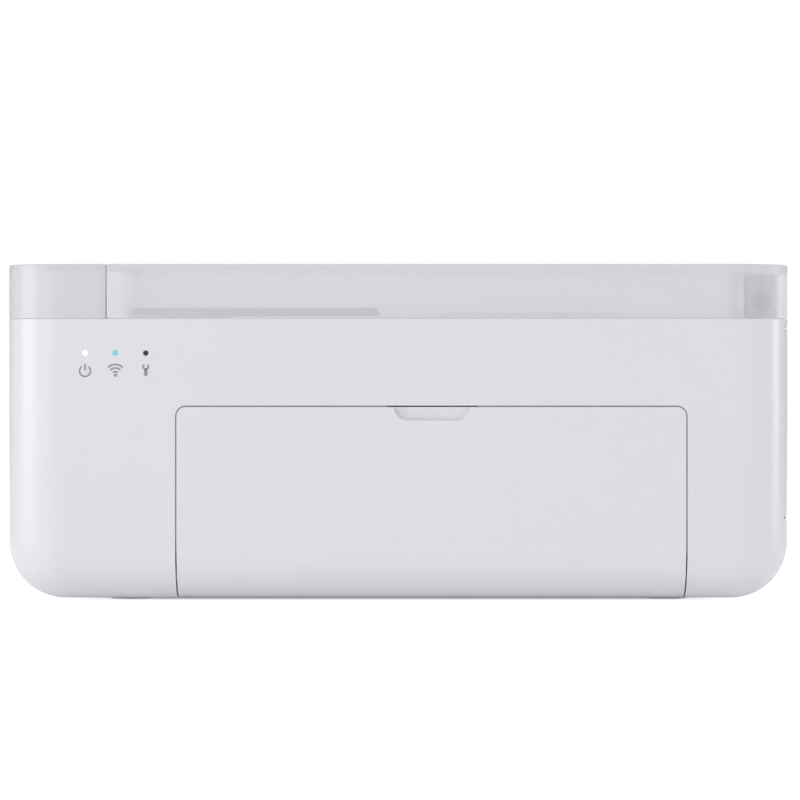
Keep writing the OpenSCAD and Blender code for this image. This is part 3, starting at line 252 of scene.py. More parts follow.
def makeWear():
    # Handling wear: soft patches where a surface is polished
    tree, start, end = newGroup("wear", {"Amount": "Float", "Size": "Float"}, {"Mask": "Float"})
    broad = addNode(tree, "ShaderNodeTexNoise", Vector=placeOf(tree), Scale=start.outputs["Size"],
                    Detail=wearNoise["detail"], Roughness=wearNoise["rough"], Distortion=wearNoise["twist"])
    cut = remap(tree, broad.outputs["Fac"], wearNoise["low"], wearNoise["high"])
    tree.links.new(times(tree, cut, start.outputs["Amount"], True), end.inputs["Mask"])
    return tree


grainGroup, dustGroup, wearGroup = makeGrain(), makeDust(), makeWear()


def overColour(tree, shader, mask, colour, kind="MIX"):
    # Lays a colour over what already feeds the base colour, where the mask is 1
    base = shader.inputs["Base Color"]
    tree.links.new(blend(tree, mask, base.links[0].from_socket, colour, kind), base)


def shadeColour(tree, shader, mask, shade):
    # Painted light and shade: a shade under 1 darkens the base colour and one over 1 lifts it
    overColour(tree, shader, mask, (shade, shade, shade, 1), "MULTIPLY")


milk = {"plateSoft": 0.3, "wallSoft": 2.6, "wallAlpha": 0.86}  # softness in mm


def addVeil(tree, shader, look):
    # Milky plastic: the plate on top and the end wall, seen along its length, let less show
    spot = splitPlace(tree)
    plate = rise(tree, spot["Z"], look["thickFrom"], milk["plateSoft"])
    veil = remap(tree, plate, least=look["alpha"], most=look["thickAlpha"])
    if "endWall" in look:
        past = rise(tree, spot["X"], look["endWall"], milk["wallSoft"])
        veil = remap(tree, past, least=milk["wallAlpha"], most=veil)
    # It spreads light inwards, so its shadow is weak
    path = addNode(tree, "ShaderNodeLightPath")
    weak = remap(tree, path.outputs["Is Shadow Ray"], least=1.0, most=look["shadow"])
    tree.links.new(times(tree, veil, weak), shader.inputs["Alpha"])
    # Painted shade: the plate on top is darker in colour
    shadeColour(tree, shader, plate, look["plateShadePainted"])


def addPatches(tree, shader, patches):
    # Each patch is a soft box of painted shade or painted light in the piece's own space, in mm; an axis may
    # have a softness of its own
    spot = splitPlace(tree)
    for edges, soft, shade in patches:
        mask = None
        for axis, low, high, *own in edges:
            fade = own[0] if own else soft
            up = rise(tree, spot[axis], low, fade)
            down = rise(tree, times(tree, spot[axis], -1.0), -high, fade)
            here = times(tree, up, down)
            mask = here if mask is None else times(tree, mask, here)
        shadeColour(tree, shader, mask, shade)


panelSoft = 0.05  # in mm


def addPanels(tree, shader, panels):
    # Dye panels one after the other along the film, each with the place where it starts, in mm
    spot = splitPlace(tree)
    for start, colour in panels:
        overColour(tree, shader, rise(tree, spot["Y"], start, panelSoft), colour)


plainLook = {
    # what a material has where its own row in looks says nothing else
    "shade": 0.94,  # the darker end of the slow tone change
    "grain": 2200.0,
    "stretch": (1, 1, 1),
    "dust": 0.15,
    "dustSize": 160.0,
    "dustColour": (0.62, 0.6, 0.57, 1),
    "wear": 0.3,
    "wearSize": 60.0,
    "polish": 0.75,  # roughness where it is worn, as a share of the rest
    "bump": 0.12,
    "bumpDepth": 0.0001,
    "metal": 0.0,
    "specular": 0.5,
    "coat": 0.0,
    "coatRough": 0.2,
    "alpha": 1.0,
}


def makeMaterial(name, row):
    # Base colour with a slow tone change, grain in the bump, dust in the colour and wear in the roughness
    look = {**plainLook, **row}
    material = bpy.data.materials.new(name)
    material.use_nodes = True
    tree = material.node_tree
    shader = tree.nodes["Principled BSDF"]
    colour = look["colour"]
    dark = tuple(c * look["shade"] for c in colour[:3]) + (1,)
    grain = useGroup(tree, grainGroup, Size=look["grain"], Stretch=look["stretch"])
    dust = useGroup(tree, dustGroup, Amount=look["dust"], Size=look["dustSize"])
    wear = useGroup(tree, wearGroup, Amount=look["wear"], Size=look["wearSize"])
    tone = blend(tree, grain.outputs["Tone"], dark, colour)
    dusty = blend(tree, dust.outputs["Mask"], tone, look["dustColour"])
    tree.links.new(dusty, shader.inputs["Base Color"])
    rough = remap(tree, wear.outputs["Mask"], least=look["rough"], most=look["rough"] * look["polish"])
    tree.links.new(rough, shader.inputs["Roughness"])
    bump = addNode(tree, "ShaderNodeBump", Height=grain.outputs["Height"],
                   Strength=look["bump"], Distance=look["bumpDepth"])
    tree.links.new(bump.outputs["Normal"], shader.inputs["Normal"])
    for label, key in (("Metallic", "metal"), ("Specular IOR Level", "specular"), ("Coat Weight", "coat"),
                       ("Coat Roughness", "coatRough"), ("Alpha", "alpha")):
        shader.inputs[label].default_value = look[key]
    if "thickFrom" in look:
        addVeil(tree, shader, look)
    if "patches" in look:
        addPatches(tree, shader, look["patches"])
    if "panels" in look:
        addPanels(tree, shader, look["panels"])
    if "glow" in look:
        shader.inputs["Emission Color"].default_value = look["glow"]
        shader.inputs["Emission Strength"].default_value = look["glowPower"]
    return material


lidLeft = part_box("storage_lid")[0].x / mm

gapLightPainted = {
    # painted light on the walls of the narrow gaps, lengths in mm
    "beside": 0.7,  # how far they reach off an edge and over it
    "over": 0.4,
    "skin": 0.2,  # the depths where they start and end
    "deep": 5.0,
    "lidDeep": 8.0,
    "foot": 15.0,  # the upright ones fade in above this height
    "fade": 2.5,
    "soft": 0.05,
    "lift": 1.28,  # how far the painted light lifts them above the rest, round the door and at the lid
    "lidLift": 1.2,
}


def doorGapPaintedLight(name):
    # White plastic spreads light into the narrow gap round the door; here that is painted light, a lift in
    # the colour of the gap's walls
    low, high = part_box(name)
    left, front, right, top = low.x / mm, low.y / mm, high.x / mm, high.z / mm
    beside, over = gapLightPainted["beside"], gapLightPainted["over"]
    depth = ("Y", front + gapLightPainted["skin"], front + gapLightPainted["deep"])
    upright = ("Z", gapLightPainted["foot"], top + beside + gapLightPainted["fade"], gapLightPainted["fade"])
    boxes = [(("X", left - beside, left + over), depth, upright),
             (("X", right - over, right + beside), depth, upright),
             (("X", left, right), depth, ("Z", top - over, top + beside))]
    return [(box, gapLightPainted["soft"], gapLightPainted["lift"]) for box in boxes]


def lidGapPaintedLight():
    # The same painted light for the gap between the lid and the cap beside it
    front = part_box("storage_lid")[0].y / mm
    return ((("X", lidLeft - gapLightPainted["beside"], lidLeft + gapLightPainted["over"]),
             ("Y", front + gapLightPainted["skin"], front + gapLightPainted["lidDeep"])), gapLightPainted["soft"], gapLightPainted["lidLift"])


# Two patches of painted shade, each a box in mm, its softness and its shade: the lid in front of the catch
# post, and the post
lidPaintedShadeAtPost = ((("X", 81.6, 93.4), ("Y", -90, -50), ("Z", 60, 81.5)), 0.8, 0.91)
postPaintedShade = ((("X", 84, 99), ("Z", 70.5, 90)), 0.2, 0.62)
filmBlack = linear(28, 26, 30)

looks = {
    # Its patches paint light into the narrow gap round the door
    "whiteShell": dict(colour=linear(226, 225, 231), shade=0.985, rough=0.25, bump=0.05, dust=0.0, wear=0.06,
                       patches=doorGapPaintedLight("front_door")),
    "frosted": dict(colour=linear(234, 234, 238), shade=0.98, rough=0.42, bump=0.1, dust=0.05, wear=0.2,
                    alpha=0.5, shadow=0.3, thickFrom=81.8, thickAlpha=0.75, plateShadePainted=0.88,
                    endWall=lidLeft + 4.6, patches=[lidPaintedShadeAtPost, lidGapPaintedLight()]),
    "frostedCap": dict(colour=linear(226, 225, 230), shade=0.98, rough=0.22, bump=0.1, dust=0.05, wear=0.2,
                       alpha=0.82, shadow=0.5, thickFrom=81.8, thickAlpha=0.9, plateShadePainted=0.9,
                       patches=[lidGapPaintedLight()]),
    "innerWhite": dict(colour=linear(234, 234, 237), shade=0.97, rough=0.5, bump=0.1, dust=0.06),
    "trayWhite": dict(colour=linear(228, 228, 231), shade=0.97, rough=0.5, bump=0.1, dust=0.06,
                      patches=[postPaintedShade]),
    "blackPlastic": dict(colour=linear(38, 38, 40), shade=0.8, rough=0.55, bump=0.2, dust=0.25),
    "footRubber": dict(colour=linear(226, 226, 229), rough=0.75, bump=0.35, grain=1500.0, dust=0.4),
    "sheetSteel": dict(colour=linear(180, 182, 186), shade=0.88, rough=0.34, metal=1.0, bump=0.08,
                       grain=500.0, stretch=(0.06, 1, 4), dust=0.05, wear=0.5),
    "turnedSteel": dict(colour=linear(188, 189, 192), shade=0.9, rough=0.22, metal=1.0, bump=0.06,
                        grain=1800.0, stretch=(3, 0.2, 0.2), dust=0.0, wear=0.4),
    "magnetNickel": dict(colour=linear(84, 84, 88), shade=0.9, rough=0.28, metal=1.0, bump=0.05, dust=0.0),
    "brass": dict(colour=linear(196, 160, 96), shade=0.85, rough=0.26, metal=1.0, bump=0.06,
                  dust=0.0, wear=0.5),
    "acetal": dict(colour=linear(232, 229, 218), shade=0.95, rough=0.4, bump=0.05, dust=0.08),
    "rollerRubber": dict(colour=linear(44, 43, 46), shade=0.85, rough=0.7, bump=0.3,
                         grain=2600.0, stretch=(1, 0.4, 0.4), dust=0.1),
    "headAluminium": dict(colour=linear(196, 198, 202), shade=0.9, rough=0.3, metal=1.0, bump=0.1,
                          grain=900.0, stretch=(0.05, 2, 2), dust=0.04, wear=0.4),
    "headCeramic": dict(colour=linear(214, 208, 194), shade=0.95, rough=0.3, bump=0.04, dust=0.0),
    "ribbonCase": dict(colour=linear(176, 180, 188), shade=0.95, rough=0.45, dust=0.05),
    "ribbonFilm": dict(colour=linear(46, 34, 56), shade=0.7, rough=0.18, bump=0.03, dust=0.0, coat=0.4),
    "dyeFilm": dict(colour=linear(224, 196, 40), shade=0.96, rough=0.16, bump=0.03, dust=0.0, coat=0.5,
                    panels=[(-11.0, filmBlack), (-9.5, linear(196, 44, 116)), (20.0, filmBlack)]),
    "paper": dict(colour=linear(244, 244, 242), shade=0.985, rough=0.55, bump=0.08, grain=3000.0, dust=0.0),
    "boardGreen": dict(colour=linear(36, 92, 52), shade=0.75, rough=0.32, bump=0.25,
                       grain=700.0, dust=0.05, coat=0.3),
    "lightWhite": dict(colour=linear(250, 251, 253), rough=0.2, bump=0.0, dust=0.0,
                       glow=white, glowPower=0.55),
    "lightBlue": dict(colour=linear(120, 190, 214), rough=0.2, bump=0.0, dust=0.0,
                      glow=linear(120, 190, 216), glowPower=0.3),
    "lightOff": dict(colour=linear(52, 52, 56), rough=0.25, bump=0.0, dust=0.0),
    "signGrey": dict(colour=linear(150, 150, 155), shade=0.97, rough=0.5, bump=0.05, dust=0.0),
}
materials = {name: makeMaterial(name, look) for name, look in looks.items()}

wearing = {
    "whiteShell": ["housing", "front_door", "ribbon_door", "base_plate"],
    "frosted": ["storage_lid", "hinge_rail"],
    "frostedCap": ["left_cap"],
    "trayWhite": ["storage_tray"],
    "innerWhite": ["cassette_base", "cassette_cover", "power_button"],
    "blackPlastic": ["head_guides", "pickup_arm", "paper_guides", "fan_frame", "fan_rotor", "dc_inlet"],
    "footRubber": ["feet"],
    "sheetSteel": ["chassis_left", "chassis_right", "tie_bars", "gear_bracket", "drive_motor", "cam_motor",
                   "usb_port", "lift_plate", "lift_springs"],
    "turnedSteel": ["lid_hinge_pins", "front_door_pins", "ribbon_door_rod", "pickup_shaft", "camshaft",
                    "capstan", "screws"],
    "magnetNickel": ["catch_magnet"],
    "brass": ["motor_pinion", "cam_pinion", "bearings"],
    "acetal": ["reduction_gear", "exit_idler", "capstan_idler", "take_up_drive"],
    "rollerRubber": ["platen", "exit_roller", "capstan_pinch", "exit_pinch", "pickup_roller"],
    "headAluminium": ["head_carrier"],
    "headCeramic": ["print_head"],
    "ribbonCase": ["cartridge_case"],
    "dyeFilm": ["ribbon_film"],
    "ribbonFilm": ["supply_spool", "take_up_spool"],
    "paper": ["paper_stack"],
    "boardGreen": ["button_board", "light_board", "main_board"],
    "lightWhite": ["power_light"],
    "lightBlue": ["network_light"],
    "lightOff": ["service_light"],
}
for look, names in wearing.items():
    for name in names:
        slots = nodes[name].data.materials
        slots.clear()
        slots.append(materials[look])
print("materials on", sum(len(names) for names in wearing.values()), "nodes")


def addPiece(name, mesh, material, body, stands=()):
    mesh.materials.clear()
    mesh.materials.append(materials[material])
    piece = addObject(name, mesh)
    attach(piece, body)
    if stands:
        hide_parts(*stands)


def meshOf(bm, name):
    bmesh.ops.recalc_face_normals(bm, faces=bm.faces)
    mesh = bpy.data.meshes.new(name)
    bm.to_mesh(mesh)
    bm.free()
    return mesh


def bake(name, thing, *helpers):
    # The mesh that the modifiers make of an object; the object and its helpers then go
    mesh = bpy.data.meshes.new_from_object(thing.evaluated_get(bpy.context.evaluated_depsgraph_get()))
    mesh.name = name
    thing.modifiers.clear()
    for used in (thing, *helpers):
        bpy.data.objects.remove(used)
    return mesh


def addPrism(bm, outline, place, low, high):
    # outline holds points in the plane, place turns (u, v, depth) into a point
    floor = [bm.verts.new(place(u, v, low)) for u, v in outline]
    roof = [bm.verts.new(place(u, v, high)) for u, v in outline]
    bm.faces.new(floor)
    bm.faces.new(list(reversed(roof)))
    for i in range(len(outline)):
        j = (i + 1) % len(outline)
        bm.faces.new((floor[i], roof[i], roof[j], floor[j]))


def prismMesh(name, outlines, place, low, high):
    bm = bmesh.new()
    for outline in outlines:
        addPrism(bm, outline, place, low, high)
    return meshOf(bm, name)


def arcBand(cx, cy, inner, outer, start, end, steps):
    # Angles in degrees
    turns = [math.radians(start + (end - start) * i / steps) for i in range(steps + 1)]
    far = [(cx + outer * math.cos(t), cy + outer * math.sin(t)) for t in turns]
    near = [(cx + inner * math.cos(t), cy + inner * math.sin(t)) for t in reversed(turns)]
    return far + near


def disc(cx, cy, radius, steps=16):
    return [(cx + radius * math.cos(i * math.tau / steps), cy + radius * math.sin(i * math.tau / steps))
            for i in range(steps)]


def bar(x0, y0, x1, y1):
    return [(x0, y0), (x1, y0), (x1, y1), (x0, y1)]


softEdges = {
    # piece: width of its broken edges in mm, the body it rides on, its slot and its finish
    "housing": (0.15, "base", "white_shell", "whiteShell"),
    "front_door": (0.15, "front_door", "white_shell", "whiteShell"),
    "ribbon_door": (0.15, "ribbon_door", "white_shell", "whiteShell"),
    "storage_lid": (0.16, "lid", "frosted_plastic", "frosted"),
    "left_cap": (0.28, "base", "frosted_plastic", "frostedCap"),
    "power_button": (0.2, "power_button", "white_inner", "innerWhite"),
    "cassette_cover": (0.3, "cassette", "white_inner", "innerWhite"),
    "cassette_base": (0.3, "cassette", "white_inner", "innerWhite"),
}

softening = {
    # turns between faces, in degrees: less than flat is one face, up to crease is a curve's facet,
    # up to corner stays a crease, and more is a corner that gets broken
    "flat": 0.6,
    "crease": 24,
    "corner": 38,
    "steps": 2,
    "weight": 50,
}


def softenEdges(name, width, body, finish):
    # A moulded copy of the part whose sharp edges are slightly rounded
    bm = bmesh.new()
    bm.from_mesh(nodes[name].data)
    bmesh.ops.remove_doubles(bm, verts=bm.verts, dist=weld)
    bmesh.ops.dissolve_limit(bm, angle_limit=math.radians(softening["flat"]), verts=bm.verts, edges=bm.edges)
    for face in bm.faces:
        face.smooth = True
    for side in bm.edges:
        turn = side.calc_face_angle(0)
        side.smooth = not math.radians(softening["crease"]) < turn <= math.radians(softening["corner"])
    mesh = bpy.data.meshes.new(name)
    bm.to_mesh(mesh)
    bm.free()
    carrier = addObject(name + "Carrier", mesh)
    edge = carrier.modifiers.new("edge", "BEVEL")
    edge.width = width * mm
    edge.segments = softening["steps"]
    edge.limit_method = "ANGLE"
    edge.angle_limit = math.radians(softening["corner"])
    edge.use_clamp_overlap = False
    even = carrier.modifiers.new("even", "WEIGHTED_NORMAL")  # large flat faces stay flat beside their curves
    even.mode = "FACE_AREA"
    even.weight = softening["weight"]
    even.keep_sharp = True
    words = name.split("_")
    moulded = words[0] + "".join(word.capitalize() for word in words[1:]) + "Moulded"
    addPiece(moulded, bake(moulded, carrier), finish, body, [name])


for name, (width, body, slot, finish) in softEdges.items():
    softenEdges(name, width, body, finish)
print("edges softened on", len(softEdges), "parts")


signs = {
    # places and sizes in mm on the front face, angles in degrees
    "proud": 0.04,
    "sunk": 0.2,
    "stroke": 0.42,
    "bar": (0.1, 1.09),  # ends of the power sign's bar, as shares of its radius
    "steps": {"power": 24, "signal": 12, "jaw": 18, "foot": 10},
    "power": {"at": (-77.35, 57.35), "radius": 1.56, "gap": 38},
    "signal": {"at": (-69.85, 56.3), "radii": (1.1, 1.99, 2.87), "spread": 44, "dot": 0.42},
    "service": {"at": (-62.35, 58.45), "jaw": 0.86, "throat": 0.4, "mouth": 44, "neck": 0.3, "grip": 0.45,
                "shoulder": 57.4, "end": 56.1, "join": 0.2, "overlap": 0.01,
                "point": 0.0001},  # inner radius of the round end, next to nothing
}


def powerSign(cx, cy, radius, gap, stroke):
    low, high = signs["bar"]
    return [arcBand(cx, cy, radius - stroke, radius, 90 + gap, 450 - gap, signs["steps"]["power"]),
            bar(cx - stroke / 2, cy + radius * low, cx + stroke / 2, cy + radius * high)]


def signalSign(x, z, radii, spread, dot, stroke):
    steps = signs["steps"]["signal"]
    return [disc(x, z, dot)] + [arcBand(x, z, r - stroke, r, 90 - spread, 90 + spread, steps) for r in radii]


def serviceSign(x, z, spanner):
    # A small open-ended spanner
    mouth, neck, grip, shoulder = (spanner[key] for key in ("mouth", "neck", "grip", "shoulder"))
    throat, foot, steps = spanner["throat"], spanner["end"] + grip, signs["steps"]
    return [arcBand(x, z, throat, spanner["jaw"], 90 + mouth, 450 - mouth, steps["jaw"]),
            bar(x - neck, shoulder - spanner["overlap"], x + neck, z - throat - spanner["join"]),
            bar(x - grip, foot, x + grip, shoulder),
            arcBand(x, foot, spanner["point"], grip, 180, 360, steps["foot"])]


def addSigns():
    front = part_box("housing")[0].y
    stroke, power, signal, service = (signs[key] for key in ("stroke", "power", "signal", "service"))
    shapes = {
        "powerSign": powerSign(*power["at"], power["radius"], power["gap"], stroke),
        "signalSign": signalSign(*signal["at"], signal["radii"], signal["spread"], signal["dot"], stroke),
        "serviceSign": serviceSign(*service["at"], service),
    }
    for name, outlines in shapes.items():
        mesh = prismMesh(name, outlines, lambda u, v, d: (u * mm, front + d * mm, v * mm),
                         -signs["proud"], signs["sunk"])
        addPiece(name, mesh, "signGrey", "base")


flatSign = {"sunk": 0.2, "proud": 0.03}


def addFlatSign(name, outlines, level, body):
    # Printed on a face that looks up
    mesh = prismMesh(name, outlines, lambda u, v, d: (u * mm, v * mm, level + d * mm),
                     -flatSign["sunk"], flatSign["proud"])
    addPiece(name, mesh, "signGrey", body)


buttonSign = {"radius": 2.3, "gap": 36, "stroke": 0.45}


def addButtonSign():
    low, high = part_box("power_button")
    cx, cy = (low.x + high.x) / 2 / mm, (low.y + high.y) / 2 / mm
    outlines = powerSign(cx, cy, buttonSign["radius"], buttonSign["gap"], buttonSign["stroke"])
    addFlatSign("buttonSign", outlines, high.z, "power_button")


insertSign = {"from": 46, "head": 7, "half": 4.5, "tail": 9, "tailHalf": 1.5}


def addInsertSign():
    # Plain arrow on the cassette that shows which end goes in first
    low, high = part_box("cassette_cover")
    x, y = low.x / mm + insertSign["from"], (low.y + high.y) / 2 / mm
    half, thin = insertSign["half"], insertSign["tailHalf"]
    outlines = ([(x - insertSign["head"], y), (x, y - half), (x, y + half)],
                bar(x, y - thin, x + insertSign["tail"], y + thin))
    addFlatSign("insertSign", outlines, high.z, "cassette")


addSigns()
addButtonSign()
print("signs ready")


seeds = {"row": 7, "places": 11}


def dressCopies(tree, copies, finish, out):
    # The copies become one real mesh in one material
    real = addNode(tree, "GeometryNodeRealizeInstances", Geometry=copies)
    dress = addNode(tree, "GeometryNodeSetMaterial", Geometry=real.outputs["Geometry"], Material=finish)
    tree.links.new(dress.outputs["Geometry"], out)


def makeRowTree():
    # Copies of the piece's own shape along a straight row
    tree, start, end = newGroup(
        "rowOfShapes",
        {"Shape": "Geometry", "Count": "Int", "Start": "Vector", "Step": "Vector", "Shake": "Vector",
         "Finish": "Material"},
        {"Row": "Geometry"}, "GeometryNodeTree")
    given = start.outputs
    line = addNode(tree, "GeometryNodeMeshLine", Count=given["Count"], Offset=given["Step"],
                   **{"Start Location": given["Start"]})
    less = addNode(tree, "ShaderNodeVectorMath", {"operation": "SCALE"}, i0=given["Shake"], Scale=-1)
    shake = addNode(tree, "FunctionNodeRandomValue", {"data_type": "FLOAT_VECTOR"},
                    Min=less.outputs["Vector"], Max=given["Shake"], Seed=seeds["row"])
    move = addNode(tree, "GeometryNodeSetPosition",
                   Geometry=line.outputs["Mesh"], Offset=shake.outputs["Value"])
    place = addNode(tree, "GeometryNodeInstanceOnPoints",
                    Points=move.outputs["Geometry"], Instance=given["Shape"])
    dressCopies(tree, place.outputs["Instances"], given["Finish"], end.inputs["Row"])
    return tree


def makePlacesTree():
    # One copy of a shape on every point of the carrier mesh, each with a turn of its own
    tree, start, end = newGroup(
        "shapeOnPlaces",
        {"Places": "Geometry", "Shape": "Object", "Spread": "Float", "Finish": "Material"},
        {"Pieces": "Geometry"}, "GeometryNodeTree")
    given = start.outputs
    points = addNode(tree, "GeometryNodeMeshToPoints", Mesh=given["Places"])
    shape = addNode(tree, "GeometryNodeObjectInfo", Object=given["Shape"])
    turn = addNode(tree, "FunctionNodeRandomValue", {"data_type": "FLOAT"}, Seed=seeds["places"])
    tree.links.new(given["Spread"], next(i for i in turn.inputs if i.name == "Max" and i.type == "VALUE"))
    axis = addNode(tree, "ShaderNodeCombineXYZ", Z=next(o for o in turn.outputs if o.type == "VALUE"))
    place = addNode(tree, "GeometryNodeInstanceOnPoints", Points=points.outputs["Points"],
                    Instance=shape.outputs["Geometry"], Rotation=axis.outputs["Vector"])
    dressCopies(tree, place.outputs["Instances"], given["Finish"], end.inputs["Pieces"])
    return tree


rowTree, placesTree = makeRowTree(), makePlacesTree()


def setInputs(carrier, tree, values):
    # Each input goes by its socket's identifier
    modifier = carrier.modifiers.new("copies", "NODES")
    modifier.node_group = tree
    for item in tree.interface.items_tree:
        if item.in_out == "INPUT" and item.name in values:
            modifier[item.identifier] = values[item.name]


def growRow(name, shape, count, start, step, finish, shake=(0, 0, 0)):
    # A plain mesh of the whole row, lengths in mm
    carrier = addObject(name + "Shape", shape)
    setInputs(carrier, rowTree, {
        "Count": count, "Start": [c * mm for c in start], "Step": [c * mm for c in step],
        "Shake": [c * mm for c in shake], "Finish": materials[finish]})
    return bake(name, carrier)


def growOnPlaces(name, shape, places, spread, finish):
    # A plain mesh of one shape on many places, given in mm
    dots = bpy.data.meshes.new(name + "Dots")
    dots.from_pydata([[c * mm for c in place] for place in places], [], [])
    carrier, model = addObject(name + "Places", dots), addObject(name + "Model", shape)
    setInputs(carrier, placesTree, {"Shape": model, "Spread": spread, "Finish": materials[finish]})
    return bake(name, carrier, model)


def joinMeshes(name, meshes):
    bm = bmesh.new()
    for mesh in meshes:
        bm.from_mesh(mesh)
    return meshOf(bm, name)


def block(name, size, edge):
    # A small block with broken edges, standing on the origin, lengths in mm
    bm = bmesh.new()
    bmesh.ops.create_cube(bm, size=1, matrix=Matrix.Translation((0, 0, size[2] / 2 * mm)) @
                          Matrix.Diagonal((size[0] * mm, size[1] * mm, size[2] * mm, 1)))
    if edge:
        bmesh.ops.bevel(bm, geom=bm.edges[:], offset=edge * mm, segments=1, affect="EDGES")
    return meshOf(bm, name)


def turned(name, profile, steps=32):
    # Solid of revolution about Z, the profile in mm from the axis at the foot to the axis at the top
    bm = bmesh.new()
    rings = []
    for r, z in profile:
        turns = [i * math.tau / steps for i in range(steps if r > 0 else 1)]
        rings.append([bm.verts.new((r * math.cos(t) * mm, r * math.sin(t) * mm, z * mm)) for t in turns])
    for low, high in zip(rings, rings[1:]):
        for i in range(steps):
            j = (i + 1) % steps
            if len(low) == 1:
                bm.faces.new((low[0], high[i], high[j]))
            elif len(high) == 1:
                bm.faces.new((low[i], high[0], low[j]))
            else:
                bm.faces.new((low[i], high[i], high[j], low[j]))
    return meshOf(bm, name)


screwShape = {
    # lengths in mm, shank and tip as shares of the radius before them
    "recess": 0.9,
    "slot": 0.56,
    "arm": 2.1,
    "crown": 0.35,
    "edge": 0.12,
    "shank": 0.55,
    "tip": 0.7,
    "tipLong": 0.8,
    "rows": (("trayScrew", True, 1.3), ("baseScrew", False, 1.1)),  # name, head up, height of the head
    "middle": 40,  # tray screws stand above this height, base screws below it
}


def screwMesh(name, headRadius, headHigh, shankLong, up):
    # Pan head with a cross recess, its seat on the origin
    crown, edge, shank = screwShape["crown"], screwShape["edge"], headRadius * screwShape["shank"]
    profile = [(0, -shankLong), (shank * screwShape["tip"], -shankLong),
               (shank, -shankLong + screwShape["tipLong"]), (shank, 0), (headRadius, 0),
               (headRadius, headHigh - crown), (headRadius - edge, headHigh - edge),
               (headRadius - crown, headHigh), (0, headHigh)]
    head = addObject(name, turned(name, profile))
    cross = bmesh.new()
    for long, wide in ((screwShape["arm"], screwShape["slot"]), (screwShape["slot"], screwShape["arm"])):
        grown = Matrix.Diagonal((long * mm, wide * mm, 2 * screwShape["recess"] * mm, 1))
        bmesh.ops.create_cube(cross, size=1, matrix=Matrix.Translation((0, 0, headHigh * mm)) @ grown)
    cutter = addObject(name + "Cross", meshOf(cross, name + "Cross"))
    cut = head.modifiers.new("recess", "BOOLEAN")
    cut.operation = "DIFFERENCE"
    cut.solver = "EXACT"
    cut.use_self = True
    cut.object = cutter
    mesh = bake(name, head, cutter)
    if not up:
        mesh.transform(Matrix.Rotation(math.pi, 4, "X"))
    return mesh


def loosePlaces(name):
    # Lowest and highest corner of every separate solid of a node
    bm = bmesh.new()
    bm.from_mesh(nodes[name].data)
    bmesh.ops.remove_doubles(bm, verts=bm.verts, dist=weld)
    left, boxes = set(bm.verts), []
    for first in list(bm.verts):
        if first not in left:
            continue
        left.discard(first)
        found, queue = [first.co.copy()], [first]
        while queue:
            for edge in queue.pop().link_edges:
                for vert in edge.verts:
                    if vert in left:
                        left.discard(vert)
                        queue.append(vert)
                        found.append(vert.co.copy())
        boxes.append(tuple([pick(c[i] for c in found) / mm for i in range(3)] for pick in (min, max)))
    bm.free()
    return boxes


def addScrews():
    boxes = loosePlaces("screws")
    rows = []
    for name, up, headHigh in screwShape["rows"]:
        mine = sorted([b for b in boxes if (b[1][2] > screwShape["middle"]) == up])
        low, high = mine[0]
        headRadius = (high[0] - low[0]) / 2
        seat = high[2] - headHigh if up else low[2] + headHigh
        shape = screwMesh(name, headRadius, headHigh, high[2] - low[2] - headHigh, up)
        places = [((a[0] + b[0]) / 2, (a[1] + b[1]) / 2, seat) for a, b in mine]
        rows.append(growOnPlaces(name, shape, places, math.pi / 2, "turnedSteel"))
    addPiece("crossScrews", joinMeshes("crossScrews", rows), "turnedSteel", "base", ["screws"])


lidLip = {"inset": 0.3, "thick": 0.9, "corner": 14.0, "steps": 12,
          "into": 0.04, "above": 0.02, "backFrom": 16.0}


def addLidLip():
    # Soft strip under the lid's rim, which closes the thin gap on the front and on both sides
    low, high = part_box("storage_lid")
    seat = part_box("housing")[1].z
    rings = []
    for inset in (lidLip["inset"], lidLip["inset"] + lidLip["thick"]):
        left, front, right = low.x / mm + inset, low.y / mm + inset, high.x / mm - inset
        back = high.y / mm - lidLip["backFrom"]
        radius = lidLip["corner"] - inset
        ring = [(left, back), (left, front)]
        for i in range(lidLip["steps"] + 1):
            turn = math.radians(-90 + i * 90 / lidLip["steps"])
            ring.append((right - radius + radius * math.cos(turn), front + radius + radius * math.sin(turn)))
        rings.append(ring + [(right, back)])
    bm = bmesh.new()
    levels = (seat + lidLip["above"] * mm, low.z + lidLip["into"] * mm)
    (foot, footIn), (rim, rimIn) = [
        [[bm.verts.new((x * mm, y * mm, z)) for x, y in ring] for ring in rings] for z in levels]
    for i in range(len(foot) - 1):
        for a, b in ((foot, footIn), (footIn, rimIn), (rimIn, rim), (rim, foot)):
            bm.faces.new((a[i], a[i + 1], b[i + 1], b[i]))
    for i in (0, -1):
        bm.faces.new((foot[i], footIn[i], rimIn[i], rim[i]))
    addPiece("lidLip", meshOf(bm, "lidLip"), "innerWhite", "lid")


paperStack = {"sheet": 0.2, "pitch": 0.25, "shake": 0.12}


def addPaper():
    # Single sheets in place of the plain stack, each a little out of line
    low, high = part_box("paper_stack")
    wide, deep, tall = [(b - a) / mm for a, b in zip(low, high)]
    shake, pitch = paperStack["shake"], paperStack["pitch"]
    sheet = block("sheet", (wide - 2 * shake, deep - 2 * shake, paperStack["sheet"]), 0)
    start = ((low.x + high.x) / 2 / mm, (low.y + high.y) / 2 / mm, low.z / mm)
    mesh = growRow("paperSheets", sheet, int(tall / pitch), start, (0, 0, pitch), "paper", (shake, shake, 0))
    addPiece("paperSheets", mesh, "paper", "cassette", ["paper_stack"])


doorRibs = {"thick": 1.0, "high": 1.3, "pitch": 19.5, "foot": 20.0, "top": 42.0,
            "wall": 2.2, "ends": 16, "sunk": 0.2, "edge": 0.2}


